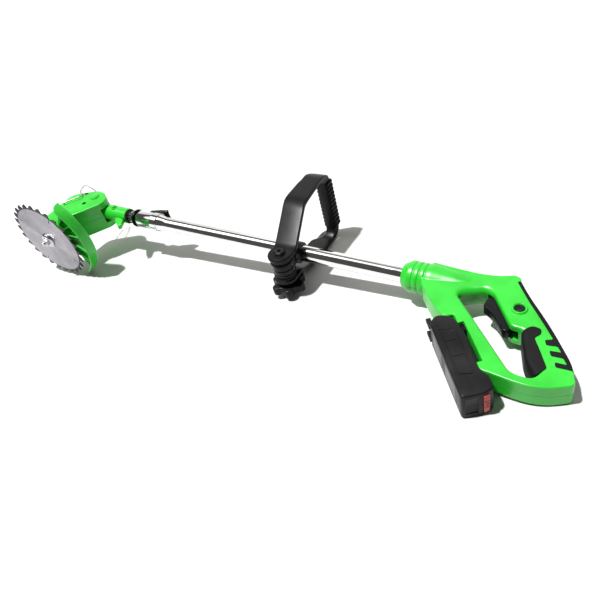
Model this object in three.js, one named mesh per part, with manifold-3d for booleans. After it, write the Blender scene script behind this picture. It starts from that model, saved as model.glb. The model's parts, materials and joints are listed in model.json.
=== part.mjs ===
// Cordless brush cutter with a telescopic pole, a swivel blade head, a D-handle and a slide-on battery.
// Everything is laid out in the tool's own frame, in millimetres: +X runs along the pole from the blade
// head to the rear handle, +Y is the side of the D-handle, and z = 0 is the mirror plane. The finished tool
// is then laid on its right side, so that it rests on the guard, the D-handle and the battery.
import * as THREE from 'three';
import { mergeVertices } from 'three/addons/utils/BufferGeometryUtils.js';
import Module from 'manifold-3d';

const wasm = await Module();
wasm.setup();

// ---- driving dimensions ----------------------------------------------------------------------------
const GAP = 0.3;                       // running gap between neighbouring pieces
const TUBE_R = 12.5;                   // chrome outer tube
const TUBE_WALL = 1.2;
const INNER_R = 10.8;                  // fluted inner tube
const SLEEVE_R = 15.6;                 // widened front end of the outer tube
const SLEEVE_X = [-539, -481, -463];   // mouth, start and end of the taper
const TUBE_END_X = 60;                 // rear end of the outer tube, inside the handle
const INNER_X = [-590, -250];          // inner tube, from the neck to its bush
const NECK_R = 14.5;
const NECK_END_X = -563;
const PIVOT = [-628, 0];               // head tilt axis, parallel to Z

const BLADE = { x: -685, y: -107, r: 82.5, thick: 1.8, teeth: 26, bore: 10 };
const GUARD = { r: 95, wall: 3, front: -100, back: -78, from: -62, to: 55 };
const HEAD_HALF = 28;                  // half thickness of the head shells
const MOTOR = { r: 21, from: -75.7, to: -12 };
const SHAFT_R = 4;
const SPACER_PIVOT = [-697, -34];      // hinge of the wire spacer, parallel to Z

const CLAMP_X = -187;                  // D-handle clamp on the pole
const CLAMP_HALF = 14;
const BOLT_Y = -35;
const ARM_Z = [19, 25.5];              // inner and outer face of the D-handle arms at the bolt
const DHANDLE_WIDTH = 40;              // at the clamp

const HANDLE_HALF = 17;                // half thickness of the rear handle
const NOSE_R = 23.5;
const NOSE_X = 4;                      // front end of the rear handle
const BATTERY_ANGLE = -52;             // direction of the battery rail, degrees
const BATTERY = { length: 131, depth: 34, half: 21, hump: 7 };
const BATTERY_AT = [75.5, -88.5];      // outer front corner of the battery
const CELL_R = 9;
const CELL_LENGTH = 49;

// ---- materials ------------------------------------------------------------------------------------
function finish(color, roughness, metalness) {
  return new THREE.MeshStandardMaterial({ color, roughness, metalness });
}

const GREEN = finish(0x2fe042, 0.38, 0);
const BLACK = finish(0x17181a, 0.5, 0);
const RUBBER = finish(0x1c1d1e, 0.8, 0);
const CHROME = finish(0xe4e6e8, 0.08, 1);
const STEEL = finish(0xb4b6b8, 0.35, 1);
const RED = finish(0xd0261c, 0.4, 0);
const BOARD = finish(0x1f6b3a, 0.6, 0);
const CELL = finish(0x3a86c8, 0.45, 0);

// ---- solid modelling helpers ------------------------------------------------------------------------
function solid(geometry) {
  const plain = geometry.clone();
  plain.deleteAttribute('normal');
  plain.deleteAttribute('uv');
  const merged = mergeVertices(plain, 1e-4);
  const index = merged.index.array;
  const triangles = [];
  for (let i = 0; i < index.length; i += 3) {
    const [a, b, c] = [index[i], index[i + 1], index[i + 2]];
    if (a !== b && b !== c && c !== a) triangles.push(a, b, c);
  }
  const vertProperties = new Float32Array(merged.attributes.position.array);
  const build = () => {
    const triVerts = new Uint32Array(triangles);
    return new wasm.Manifold(new wasm.Mesh({ numProp: 3, vertProperties, triVerts }));
  };
  const first = build();
  if (first.volume() > 0) return first;
  for (let i = 0; i < triangles.length; i += 3) {
    [triangles[i], triangles[i + 1]] = [triangles[i + 1], triangles[i]];
  }
  return build();
}

function geometryOf(shape) {
  const { vertProperties, triVerts } = shape.getMesh();
  const geometry = new THREE.BufferGeometry();
  geometry.setAttribute('position', new THREE.BufferAttribute(new Float32Array(vertProperties), 3));
  geometry.setIndex(new THREE.BufferAttribute(new Uint32Array(triVerts), 1));
  geometry.computeVertexNormals();
  return geometry;
}

function piece(name, shape, material, parent = tool) {
  const mesh = new THREE.Mesh(geometryOf(shape), material);
  mesh.name = name;
  parent.add(mesh);
  return mesh;
}

// Corners are [x, y, radius]; each is rounded by a quadratic curve that starts and ends radius away from it.
function outline(corners) {
  const shape = new THREE.Shape();
  const at = (i) => new THREE.Vector2(...corners[(i + corners.length) % corners.length].slice(0, 2));
  corners.forEach(([, , radius = 0], i) => {
    const corner = at(i);
    const before = at(i - 1).sub(corner);
    const after = at(i + 1).sub(corner);
    const reach = Math.min(radius, before.length() * 0.49, after.length() * 0.49);
    const start = corner.clone().addScaledVector(before.normalize(), reach);
    const end = corner.clone().addScaledVector(after.normalize(), reach);
    if (i === 0) shape.moveTo(start.x, start.y);
    else shape.lineTo(start.x, start.y);
    if (reach > 0) shape.quadraticCurveTo(corner.x, corner.y, end.x, end.y);
  });
  shape.closePath();
  return shape;
}

function prism(shape, low, high, bevel = 0, curveSegments = 3) {
  const options = { depth: high - low - 2 * bevel, bevelEnabled: bevel > 0, curveSegments };
  Object.assign(options, { bevelThickness: bevel, bevelSize: bevel, bevelOffset: -bevel, bevelSegments: 2 });
  return solid(new THREE.ExtrudeGeometry(shape, options).translate(0, 0, low + bevel));
}

function box(low, high) {
  const size = high.map((value, i) => value - low[i]);
  const centre = high.map((value, i) => (value + low[i]) / 2);
  return solid(new THREE.BoxGeometry(...size).translate(...centre));
}

// Turns geometry made along +Y so that it runs along the named axis.
function along(axis, geometry) {
  if (axis === 'x') geometry.rotateZ(-Math.PI / 2);
  if (axis === 'z') geometry.rotateX(Math.PI / 2);
  return geometry;
}

// A rod of radius r from low to high on the named axis, through the point centre of the other two axes.
function rod(axis, r, low, high, centre = [0, 0], segments = 24) {
  const geometry = along(axis, new THREE.CylinderGeometry(r, r, high - low, segments));
  const middle = (low + high) / 2;
  const [u, v] = centre;
  const place = { x: [middle, u, v], y: [u, middle, v], z: [u, v, middle] }[axis];
  return solid(geometry.translate(...place));
}

// A turned shape; the profile holds [radius, position along the axis] and closes on itself or on the axis.
function turned(axis, profile, centre = [0, 0], segments = 24) {
  const points = profile.map(([r, s]) => new THREE.Vector2(r, s));
  if (profile[0][0] > 0) points.push(points[0].clone());
  const geometry = along(axis, new THREE.LatheGeometry(points, segments));
  const [u, v] = centre;
  const place = { x: [0, u, v], y: [u, 0, v], z: [u, v, 0] }[axis];
  return solid(geometry.translate(...place));
}

function tubeAlong(points, r, curveSegments, steps) {
  const path = new THREE.CatmullRomCurve3(points.map((p) => new THREE.Vector3(...p)));
  const section = new THREE.Shape();
  section.absarc(0, 0, r, 0, 2 * Math.PI);
  const options = { extrudePath: path, steps, bevelEnabled: false, curveSegments };
  return solid(new THREE.ExtrudeGeometry(section, options));
}

class Helix extends THREE.Curve {
  constructor(radius, pitch, turns) {
    super();
    Object.assign(this, { radius, pitch, turns });
  }

  getPoint(t, target = new THREE.Vector3()) {
    const angle = 2 * Math.PI * this.turns * t;
    const [x, y] = [this.radius * Math.cos(angle), this.radius * Math.sin(angle)];
    return target.set(x, y, this.pitch * this.turns * t);
  }
}

// A compression spring that stands on the origin and rises along +Z.
function spring(radius, wire, height, turns) {
  const section = new THREE.Shape();
  section.absarc(0, 0, wire / 2, 0, 2 * Math.PI);
  const path = new Helix(radius, height / turns, turns);
  return solid(new THREE.ExtrudeGeometry(section, { extrudePath: path, steps: turns * 7, curveSegments: 2 }));
}

// A flat outline drawn in X and Z, standing between two heights on Y.
function slab(shape, low, high, x = 0) {
  const options = { depth: high - low, bevelEnabled: false, curveSegments: 6 };
  return solid(new THREE.ExtrudeGeometry(shape, options).rotateX(Math.PI / 2).translate(x, high, 0));
}

const polar = (r, degrees, [x, y] = [0, 0]) => {
  const angle = THREE.MathUtils.degToRad(degrees);
  return [x + r * Math.cos(angle), y + r * Math.sin(angle)];
};

// All the space on one side of the joint between two half shells.
function half(side) {
  const upper = box([-900, -300, GAP / 2], [400, 300, 200]);
  return side > 0 ? upper : upper.mirror([0, 0, 1]);
}

const tool = new THREE.Group();

// ---- blade head --------------------------------------------------------------------------------------
const [PX, PY] = PIVOT;
const SCREW_SPOTS = [[-656, -19], [-677, 9]];
const GUARD_SCREWS = [[BLADE.x - 19, 22], [BLADE.x + 19, -22]];
const TILT_RANGE = 75;

// Room that the neck needs as the head tilts from straight to TILT_RANGE degrees.
function neckRoom() {
  const r = NECK_R + 0.8;
  const reach = 70;
  const corners = [polar(reach, -14, PIVOT), [PX, PY - r]];
  for (let angle = -105; angle > -270 + TILT_RANGE; angle -= 15) corners.push(polar(r, angle, PIVOT));
  corners.push(polar(r, 90 + TILT_RANGE, PIVOT));
  corners.push([PX + reach * Math.cos(THREE.MathUtils.degToRad(TILT_RANGE + 12)), PY + reach]);
  corners.push([PX + reach, PY + reach]);
  return prism(outline(corners), -r, r);
}

function headBody() {
  const profile = outline([
    [-709, -78, 3], [-709, -2, 14], [-658, 24, 14], [-638, 22, 12], [-617, 6, 8],
    [-617, -11, 8], [-650, -54, 14], [-661, -64, 4], [-661, -78, 3],
  ]);
  const rim = outline([
    [-703, -8, 8], [-660, 17, 8], [-643, 16, 8], [-637, 6, 8], [-664, -34, 8], [-702, -40, 8],
  ]);
  const raisedRim = prism(rim, -HEAD_HALF - 1.2, HEAD_HALF + 1.2, 1);
  const cavity = rod('y', MOTOR.r + 0.6, MOTOR.from - GAP, 3, [BLADE.x, 0], 24);
  const shaftHole = rod('y', 9, -90, MOTOR.from + 1, [BLADE.x, 0]);
  const lead = rod('x', 5, BLADE.x, PX, [-6, 0], 12);
  const pinHole = rod('z', 3 + GAP, -60, 60, PIVOT, 12);
  let body = prism(profile, -HEAD_HALF, HEAD_HALF, 2).add(raisedRim);
  for (const cut of [cavity, shaftHole, lead, pinHole, neckRoom()]) body = body.subtract(cut);
  for (const spot of SCREW_SPOTS) {
    body = body.subtract(rod('z', 2 + GAP, -20, 60, spot, 10));
    body = body.subtract(rod('z', 4 + GAP, 24, 60, spot, 12));
  }
  for (const spot of GUARD_SCREWS) body = body.subtract(rod('y', 2 + GAP, -90, -68, spot, 10));
  for (const low of [-60, 25]) body = body.subtract(rod('z', 1.9, low, low + 35, SPACER_PIVOT, 12));
  return body;
}

function screwAt(spot, side, top, length, headR = 4) {
  const [shankEnd, shoulder] = [top - length, top - 3];
  const profile = [[0, shankEnd], [2, shankEnd], [2, shoulder], [headR, shoulder], [headR, top], [0, top]];
  return turned('z', profile.map(([r, s]) => [r, s * side]), spot, 10);
}

function buildHead() {
  const body = headBody();
  piece('head_shell_left', body.intersect(half(1)), GREEN);
  piece('head_shell_right', body.intersect(half(-1)), GREEN);
  SCREW_SPOTS.forEach((spot, i) => piece(`head_screw_${i + 1}`, screwAt(spot, 1, 27.5, 44), STEEL));
  piece('tilt_pin', rod('z', 3, -27, 27, PIVOT, 16), STEEL);

  const { r, from, to } = MOTOR;
  const can = [[6.6, from], [r, from], [r, to], [6.6, to], [6.6, to - 2], [r - 2, to - 2], [r - 2, from + 2],
    [6.6, from + 2]];
  piece('motor_can', turned('y', can, [BLADE.x, 0], 20), STEEL);
  for (const [name, low] of [['front_bearing', from + 0.2], ['rear_bearing', to - 4.2]]) {
    const ring = [[SHAFT_R + GAP, low], [6.3, low], [6.3, low + 4], [SHAFT_R + GAP, low + 4]];
    piece(name, turned('y', ring, [BLADE.x, 0], 16), STEEL);
  }
  const tip = BLADE.y - 15;
  const rotor = [[0, tip], [SHAFT_R, tip], [SHAFT_R, from + 6], [16, from + 8], [16, to - 18], [8, to - 17],
    [8, to - 8], [SHAFT_R, to - 7], [SHAFT_R, 0], [0, 0]];
  piece('motor_rotor', turned('y', rotor, [BLADE.x, 0], 20), STEEL);

  const vanes = [];
  for (let angle = 0; angle < 360; angle += 45) {
    vanes.push(polar(7, angle), polar(17, angle + 4), polar(17, angle + 14), polar(8, angle + 24));
  }
  const fan = slab(outline(vanes), -8.5, -2.5, BLADE.x);
  piece('cooling_fan', fan.subtract(rod('y', SHAFT_R + GAP, -20, 10, [BLADE.x, 0], 16)), BLACK);
}

// The guard is half a dish: a hub ring under the motor housing, a back plate and a rim on the pole side.
function buildGuard() {
  const { r, wall, front, back, from, to } = GUARD;
  const hubR = 33;
  const top = back - GAP;
  const edge = [[0, 0]];
  for (let angle = from; angle <= to + 0.1; angle += (to - from) / 20) edge.push(polar(r, angle));
  const sector = slab(outline(edge), front, top, BLADE.x);
  const hollow = rod('y', r - wall, front - 5, top - wall, [BLADE.x, 0], 48);
  const hub = [[25, front + 10], [hubR, front + 10], [hubR, top], [9.5, top], [9.5, top - wall],
    [25, top - wall]];
  let guard = sector.subtract(hollow).add(turned('y', hub, [BLADE.x, 0], 32));
  guard = guard.subtract(rod('y', 9.5, -120, -60, [BLADE.x, 0], 20));
  GUARD_SCREWS.forEach((spot, i) => {
    guard = guard.subtract(rod('y', 2 + GAP, -120, -60, spot, 10));
    const seat = front + 10 - GAP;
    const screw = [[0, -69], [2, -69], [2, seat], [3.6, seat], [3.6, seat - 2.4], [0, seat - 2.4]];
    piece(`guard_screw_${i + 1}`, turned('y', screw, spot, 10), STEEL);
  });
  piece('blade_guard', guard, GREEN);
}

// ---- blade and its clamp -----------------------------------------------------------------------------
function sawShape() {
  const { r, teeth } = BLADE;
  const pitch = 360 / teeth;
  const corners = [];
  for (let i = 0; i < teeth; i++) {
    const tip = i * pitch;
    corners.push(polar(r, tip), polar(r - 2.2, tip + 0.38 * pitch), polar(r - 7.5, tip + 0.55 * pitch));
    corners.push(polar(r - 9.5, tip + 0.72 * pitch), polar(r - 8.5, tip + 0.88 * pitch));
  }
  const shape = outline(corners);
  const bore = new THREE.Path();
  bore.absarc(0, 0, BLADE.bore, 0, 2 * Math.PI);
  shape.holes.push(bore);
  return shape;
}

function buildBlade() {
  const axis = [BLADE.x, 0];
  const [low, high] = [BLADE.y - BLADE.thick / 2, BLADE.y + BLADE.thick / 2];
  let blade = slab(sawShape(), low, high, BLADE.x);
  for (let i = 0; i < 4; i++) {
    const slot = box([BLADE.r - 20, low - 1, -0.7], [BLADE.r, high + 1, 0.7]).rotate([0, 90 * i + 38, 0]);
    blade = blade.subtract(slot.translate([BLADE.x, 0, 0]));
  }
  piece('saw_blade', blade, STEEL);
  const bore = SHAFT_R + GAP;
  const seat = high + GAP;
  const spigot = BLADE.bore - 0.7;
  const inner = [[bore, low], [spigot, low], [spigot, seat], [17, seat], [17, seat + 4], [8.5, seat + 4],
    [8.5, -85], [bore, -85]];
  piece('inner_flange', turned('y', inner, axis), STEEL);
  const under = low - GAP;
  const outer = [[bore, under - 4], [12, under - 4], [15, under - 2.5], [15, under], [bore, under]];
  piece('outer_flange', turned('y', outer, axis), STEEL);
  const nut = rod('y', 8.6, under - 10, under - 4 - GAP, axis, 6);
  piece('blade_nut', nut.subtract(rod('y', bore, -130, -100, axis, 16)), STEEL);
}

// A wire bow that keeps the blade's edge away from trunks; stowed, it stands over the back of the head.
function buildWireSpacer() {
  const [x, y] = SPACER_PIVOT;
  const z = HEAD_HALF + 4.2;
  const bow = [[x, y, z - 6], [x, y, z - 3], [x + 1, y + 3, z], [x + 19, y + 26, z], [x + 17, y + 33, z],
    [x + 4, y + 45, z], [x - 4, y + 62, z - 2], [x - 9, y + 72, z - 12]];
  const far = bow.map(([u, v, w]) => [u, v, -w]).reverse();
  const crown = [x - 7, y + 81, 0];
  piece('wire_spacer', tubeAlong([...bow, crown, ...far], 1.4, 2, 56), STEEL);
}

// ---- neck --------------------------------------------------------------------------------------------
const BUTTON_X = -598;
const LEVER_PIN = [-583, -13.6];
function buildNeck() {
  const round = rod('x', NECK_R, PX - 30, PX, [0, 0], 24).intersect(rod('z', NECK_R, -30, 30, PIVOT, 32));
  let knuckle = rod('x', NECK_R, PX - 0.01, NECK_END_X, [0, 0], 24).add(round);
  knuckle = knuckle.subtract(rod('z', 3 + GAP, -30, 30, PIVOT, 16));
  knuckle = knuckle.subtract(rod('x', INNER_R + GAP, INNER_X[0] - GAP, -500, [0, 0], 32));
  knuckle = knuckle.subtract(rod('x', 3.5, -660, -580, [-6, 0], 10));
  knuckle = knuckle.subtract(rod('z', 4 + GAP, 5, 30, [BUTTON_X, 0], 16));
  knuckle = knuckle.subtract(box([LEVER_PIN[0] - 5.5, -30, -4.4], [NECK_END_X + 5, -11.3, 4.4]));
  piece('neck_knuckle', knuckle, GREEN);
  const button = [[0, 9.4], [4, 9.4], [4, 17.5], [3, 18.6], [0, 18.6]];
  piece('tilt_button', turned('z', button, [BUTTON_X, 0], 16), GREEN);
  piece('tilt_button_spring', spring(2.6, 0.7, 3.4, 3).translate([BUTTON_X, 0, 5.5]), STEEL);
  const [lx, ly] = LEVER_PIN;
  const lever = outline([
    [lx - 3, ly + 1.4, 1], [lx + 6, ly + 1.2, 1], [lx + 18, ly - 2, 1], [lx + 27, ly - 19, 2],
    [lx + 23, ly - 23, 2], [lx + 5, ly - 11, 3], [lx - 3, ly - 3, 1],
  ]);
  piece('neck_lever', prism(lever, -4, 4, 0.6), GREEN);
  const [from, to] = [NECK_END_X + GAP, NECK_END_X + 3.2];
  const collar = [[INNER_R + GAP, from], [13.6, from], [13.6, to], [INNER_R + GAP, to]];
  piece('neck_collar', turned('x', collar, [0, 0], 28), BLACK);
}

// ---- telescopic pole ---------------------------------------------------------------------------------
const LOCK_PIN = [-481, 21.6];
function buildPole() {
  const flutes = new THREE.Shape();
  for (let i = 0; i < 48; i++) {
    const [x, y] = polar(i % 4 < 2 ? INNER_R : INNER_R - 0.9, i * 7.5);
    if (i) flutes.lineTo(x, y);
    else flutes.moveTo(x, y);
  }
  const core = new THREE.Path();
  core.absarc(0, 0, INNER_R - 2, 0, 2 * Math.PI);
  flutes.holes.push(core);
  const length = INNER_X[1] - INNER_X[0];
  const inner = new THREE.ExtrudeGeometry(flutes, { depth: length, bevelEnabled: false, curveSegments: 8 });
  piece('inner_tube', solid(inner.rotateY(Math.PI / 2).translate(INNER_X[0], 0, 0)), CHROME);
  const [from, to] = [INNER_X[1] + GAP, INNER_X[1] + 12];
  piece('inner_tube_bush', turned('x', [[5, from], [10.7, from], [10.7, to], [5, to]]), BLACK);
  piece('coiled_lead', rod('x', 8, INNER_X[1] + 14, TUBE_END_X, [0, 0], 12), BLACK);

  const bore = TUBE_R - TUBE_WALL;
  const [mouth, taper, taperEnd] = SLEEVE_X;
  const wall = [[bore, mouth], [SLEEVE_R, mouth], [SLEEVE_R, taper], [TUBE_R, taperEnd], [TUBE_R, TUBE_END_X],
    [bore, TUBE_END_X]];
  const window = box([-514.3, 8, -5.3], [-501.7, 20, 5.3]);
  piece('outer_tube', turned('x', wall, [0, 0], 28).subtract(window), CHROME);
  const ring = [[bore, mouth - 3], [16, mouth - 3], [16.6, mouth - 1.5], [16.6, mouth + 1.5],
    [SLEEVE_R + GAP, mouth + 1.5], [SLEEVE_R + GAP, mouth - GAP], [bore, mouth - GAP]];
  piece('sleeve_ring', turned('x', ring, [0, 0], 24), BLACK);

  const bracketX = [-496, taper - 1];
  const inside = SLEEVE_R + GAP;
  const band = [[inside, bracketX[0]], [16.6, bracketX[0]], [16.6, bracketX[1]], [inside, bracketX[1]]];
  let bracket = turned('x', band, [0, 0], 24);
  const [px, py] = LOCK_PIN;
  for (const side of [-1, 1]) {
    const ear = outline([
      [bracketX[0], 13], [bracketX[1], 13], [px + 5, py + 2, 3], [px, py + 4.6, 4], [px - 5, py + 2, 3],
    ]);
    const plate = prism(ear, 8.4, 11).subtract(rod('x', inside, -520, -460, [0, 0], 28));
    bracket = bracket.add(side > 0 ? plate : plate.mirror([0, 0, 1]));
  }
  piece('lock_bracket', bracket.subtract(rod('z', 2, -30, 30, LOCK_PIN, 12)), CHROME);
  piece('lock_pin', rod('z', 1.7, -11, 11, LOCK_PIN, 12), STEEL);
  const lever = outline([
    [-519, 14, 1], [-519, 18.5, 2], [-495, 26.6, 4], [px - 1, 27, 4], [px + 4, py + 1, 3],
    [px + 3, py - 3, 3], [px - 4, py - 3.2, 2], [-493, 14, 1],
  ]);
  const saddle = rod('x', 17.2, -540, -440, [0, 0], 32);
  const pinHole = rod('z', 2, -30, 30, LOCK_PIN, 12);
  piece('lock_lever', prism(lever, -8, 8).subtract(saddle).subtract(pinHole), BLACK);
  piece('lock_pad', box([-514, INNER_R + GAP, -5], [-502, 16, 5]), BLACK);
}

// ---- D-handle ----------------------------------------------------------------------------------------
const BOLT = [CLAMP_X, BOLT_Y];
const ARM_BEND_Y = [-18, 52];          // where the arms start to splay and where they straighten
const GRIP_Y = [119, 136];
const GRIP_SHIFT = 8;                  // the grip bar stands this far back from the middle of the arms
const DHANDLE_HALF = 65;
const DHANDLE_LEAN = -15;              // the grip stands this far towards the blade head

const TOP_TAPER = 0.1;                 // share of the width lost between the shoulders and the top
const GRIP_TAPER = 0.468;              // and along the grip bar

// Leans the frame towards the head between the bends and narrows it towards the top and along the grip bar.
function leanAndTaper(geometry) {
  const position = geometry.attributes.position;
  for (let i = 0; i < position.count; i++) {
    const y = position.getY(i);
    const risen = THREE.MathUtils.clamp((y - ARM_BEND_Y[0]) / (ARM_BEND_Y[1] - ARM_BEND_Y[0]), 0, 1);
    const inwards = THREE.MathUtils.clamp((66 - Math.abs(position.getZ(i))) / 10, 0, 1);
    const narrowed = inwards * THREE.MathUtils.clamp((y - 90) / 20, 0, 1);
    const middle = CLAMP_X + DHANDLE_LEAN * risen + GRIP_SHIFT * narrowed;
    const upper = THREE.MathUtils.clamp((y - ARM_BEND_Y[1]) / 60, 0, 1);
    position.setX(i, middle + position.getX(i) * (1 - TOP_TAPER * upper - GRIP_TAPER * narrowed));
  }
  return geometry;
}

// A flat outline drawn in Y and Z, centred on x = 0 and as wide as given.
function acrossPole(shape, width) {
  const options = { depth: width, bevelEnabled: false, curveSegments: 4 };
  const flat = new THREE.ExtrudeGeometry(shape, options).translate(0, 0, -width / 2);
  return flat.rotateY(Math.PI / 2).rotateX(Math.PI / 2);
}

// Points along an open path of [y, z, radius]; corners with a radius are rounded by quadratic curves.
function roundedPath(corners) {
  const at = (i) => new THREE.Vector2(...corners[i].slice(0, 2));
  return corners.flatMap(([y, z, radius], i) => {
    if (!radius) return [[y, z]];
    const ends = [i - 1, i + 1].map((next) => {
      const arm = at(next).sub(at(i));
      return arm.setLength(Math.min(radius, 0.49 * arm.length())).add(at(i));
    });
    const bend = new THREE.QuadraticBezierCurve(ends[0], at(i), ends[1]);
    return bend.getPoints(3).map((point) => [point.x, point.y]);
  });
}

// A flat strap that runs between two paths with the same number of points, centred on x = 0.
function strap(outside, inside, width) {
  const w = width / 2;
  const across = ([y, z], i) => [[-w, y, z], [w, y, z], [w, ...inside[i]], [-w, ...inside[i]]];
  const corners = outside.flatMap(across);
  const index = [0, 1, 2, 0, 2, 3];
  const last = corners.length - 4;
  for (let start = 0; start < last; start += 4) {
    for (let side = 0; side < 4; side++) {
      const [a, b] = [start + side, start + ((side + 1) % 4)];
      index.push(a, a + 4, b, b, a + 4, b + 4);
    }
  }
  index.push(last, last + 2, last + 1, last, last + 3, last + 2);
  const geometry = new THREE.BufferGeometry();
  geometry.setAttribute('position', new THREE.BufferAttribute(new Float32Array(corners.flat()), 3));
  return geometry.setIndex(index);
}

// A ribbed sleeve round the outer side and both edges of the grip bar.
function ribbedGrip() {
  const middle = CLAMP_X + DHANDLE_LEAN + GRIP_SHIFT;
  const halfWidth = ((1 - TOP_TAPER - GRIP_TAPER) * DHANDLE_WIDTH) / 2 + GAP;
  const [bottom, top] = [GRIP_Y[0] + 2, GRIP_Y[1] + 4.5];
  const steps = [[bottom, 46]];
  const edge = [];
  for (let i = 0; i < 12; i++) {
    const z = 46 - 7.8 * i;
    steps.push([top, z], [top, z - 4.2], [top - 2.4, z - 5], [top - 2.4, z - 7]);
    const [high, low] = [halfWidth + 3, halfWidth + 1.2];
    edge.push([high, z], [high, z - 4.2], [low, z - 5], [low, z - 7]);
  }
  steps.push([bottom, -46.8]);
  const otherEdge = edge.map(([x, z]) => [-x, z]).reverse();
  const outer = solid(acrossPole(outline(steps), 40).translate(middle, 0, 0));
  const sides = slab(outline([...edge, ...otherEdge].map(([x, z]) => [x, -z])), bottom - 5, top + 5, middle);
  const bar = box([middle - halfWidth, 0, -60], [middle + halfWidth, GRIP_Y[1] + GAP, 60]);
  return outer.intersect(sides).subtract(bar);
}

function buildDHandle() {
  const [inner, outer] = ARM_Z;
  const [bend, shoulder] = ARM_BEND_Y;
  const outside = [
    [BOLT_Y, outer], [bend, outer, 8], [shoulder - 2, 62, 20], [120, DHANDLE_HALF, 10], [GRIP_Y[1], 56, 8],
    [GRIP_Y[1], 0],
  ];
  const inside = [
    [BOLT_Y, inner], [bend + 2, inner, 8], [shoulder, 55, 20], [108, 58.5, 6], [GRIP_Y[0], 52, 5],
    [GRIP_Y[0], 0],
  ];
  const [outerHalf, innerHalf] = [outside, inside].map(roundedPath);
  const wholeLoop = (path) => [...path, ...path.slice(0, -1).reverse().map(([y, z]) => [y, -z])];
  let frame = solid(leanAndTaper(strap(wholeLoop(outerHalf), wholeLoop(innerHalf), DHANDLE_WIDTH)));
  for (const side of [-1, 1]) {
    const [a, b] = side > 0 ? [inner, outer] : [-outer, -inner];
    frame = frame.add(rod('z', DHANDLE_WIDTH / 2, a, b, BOLT, 28));
    frame = frame.subtract(rod('z', 4 + GAP, a - 1, b + 1, BOLT, 16));
  }
  piece('d_handle_frame', frame, BLACK);
  piece('d_handle_grip', ribbedGrip(), RUBBER);
}

// The slotted clamp on the pole and the stack that its cross bolt draws together.
function buildClamp() {
  const [inner, outer] = ARM_Z;
  const boss = 17.5;
  let clamp = rod('x', boss, CLAMP_X - CLAMP_HALF, CLAMP_X + CLAMP_HALF, [0, 0], 20);
  clamp = clamp.add(box([CLAMP_X - 12, BOLT_Y, -9], [CLAMP_X + 12, -13.5, 9]));
  clamp = clamp.add(rod('z', boss, -9, 9, BOLT, 20));
  clamp = clamp.subtract(rod('x', TUBE_R + GAP, -260, -100, [0, 0], 24));
  clamp = clamp.subtract(rod('z', 4 + GAP, -30, 30, BOLT, 12));
  piece('tube_clamp', clamp.subtract(box([CLAMP_X - 30, -80, -1], [CLAMP_X + 30, -5, 1])), BLACK);
  for (const [name, side] of [['ratchet_ring_upper', 1], ['ratchet_ring_lower', -1]]) {
    const ring = [[4 + GAP, 9 + GAP], [18.6, 9 + GAP], [18.6, 12], [16, 12.6], [16, 15], [17.8, 15.6],
      [17.8, inner - GAP], [4 + GAP, inner - GAP]];
    piece(name, turned('z', ring.map(([r, s]) => [r, s * side]), BOLT, 18), BLACK);
  }
  const bolt = [[0, -38], [4, -38], [4, outer + GAP], [8, outer + GAP], [8, outer + 3.5], [6.5, outer + 4.8],
    [0, outer + 4.8]];
  const socket = rod('z', 3.4, outer + 2, outer + 10, BOLT, 6);
  piece('handle_bolt', turned('z', bolt, BOLT).subtract(socket), STEEL);
  const lobes = [];
  for (let angle = 0; angle < 360; angle += 60) {
    const sides = [[29, -11], [29, 11], [19, 30]];
    for (const [r, offset] of sides) lobes.push([...polar(r, angle + offset, BOLT), 5]);
  }
  const knobTop = -outer - 2 * GAP;
  const stem = rod('z', 14, knobTop - 8, knobTop, BOLT);
  const knob = prism(outline(lobes), knobTop - 21, knobTop - 6.5).add(stem);
  piece('star_knob', knob.subtract(rod('z', 4 + GAP, -50, 0, BOLT, 16)), BLACK);
}

// ---- battery frame of reference ------------------------------------------------------------------------
// s runs along the rail towards the release button, t stands off the battery's outer face.
const turn = THREE.MathUtils.degToRad(BATTERY_ANGLE);
const onBattery = (s, t) => [
  BATTERY_AT[0] + s * Math.cos(turn) - t * Math.sin(turn),
  BATTERY_AT[1] + s * Math.sin(turn) + t * Math.cos(turn),
];
const RAIL_T = BATTERY.depth + GAP;

// ---- rear handle -------------------------------------------------------------------------------------
const TRIGGER_PIN = [145, -9];
const LOCKOFF = [176, -33];
const TRIGGER = [[130, -20, 4], [138, -3, 4], [150, -3, 4], [152, -17, 5], [160, -32, 8], [174, -56, 4],
  [172, -66, 4], [165, -67, 4], [153, -52, 10], [141, -39, 8], [129, -33, 5]];
const TRIGGER_ROOM = [[127, -40], [150, -68], [176, -74], [184, -66, 3], [184, -50, 4], [170, -30, 8],
  [158, -13, 5], [152, 0, 4], [136, 0, 4], [128, -14, 4]];

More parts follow.
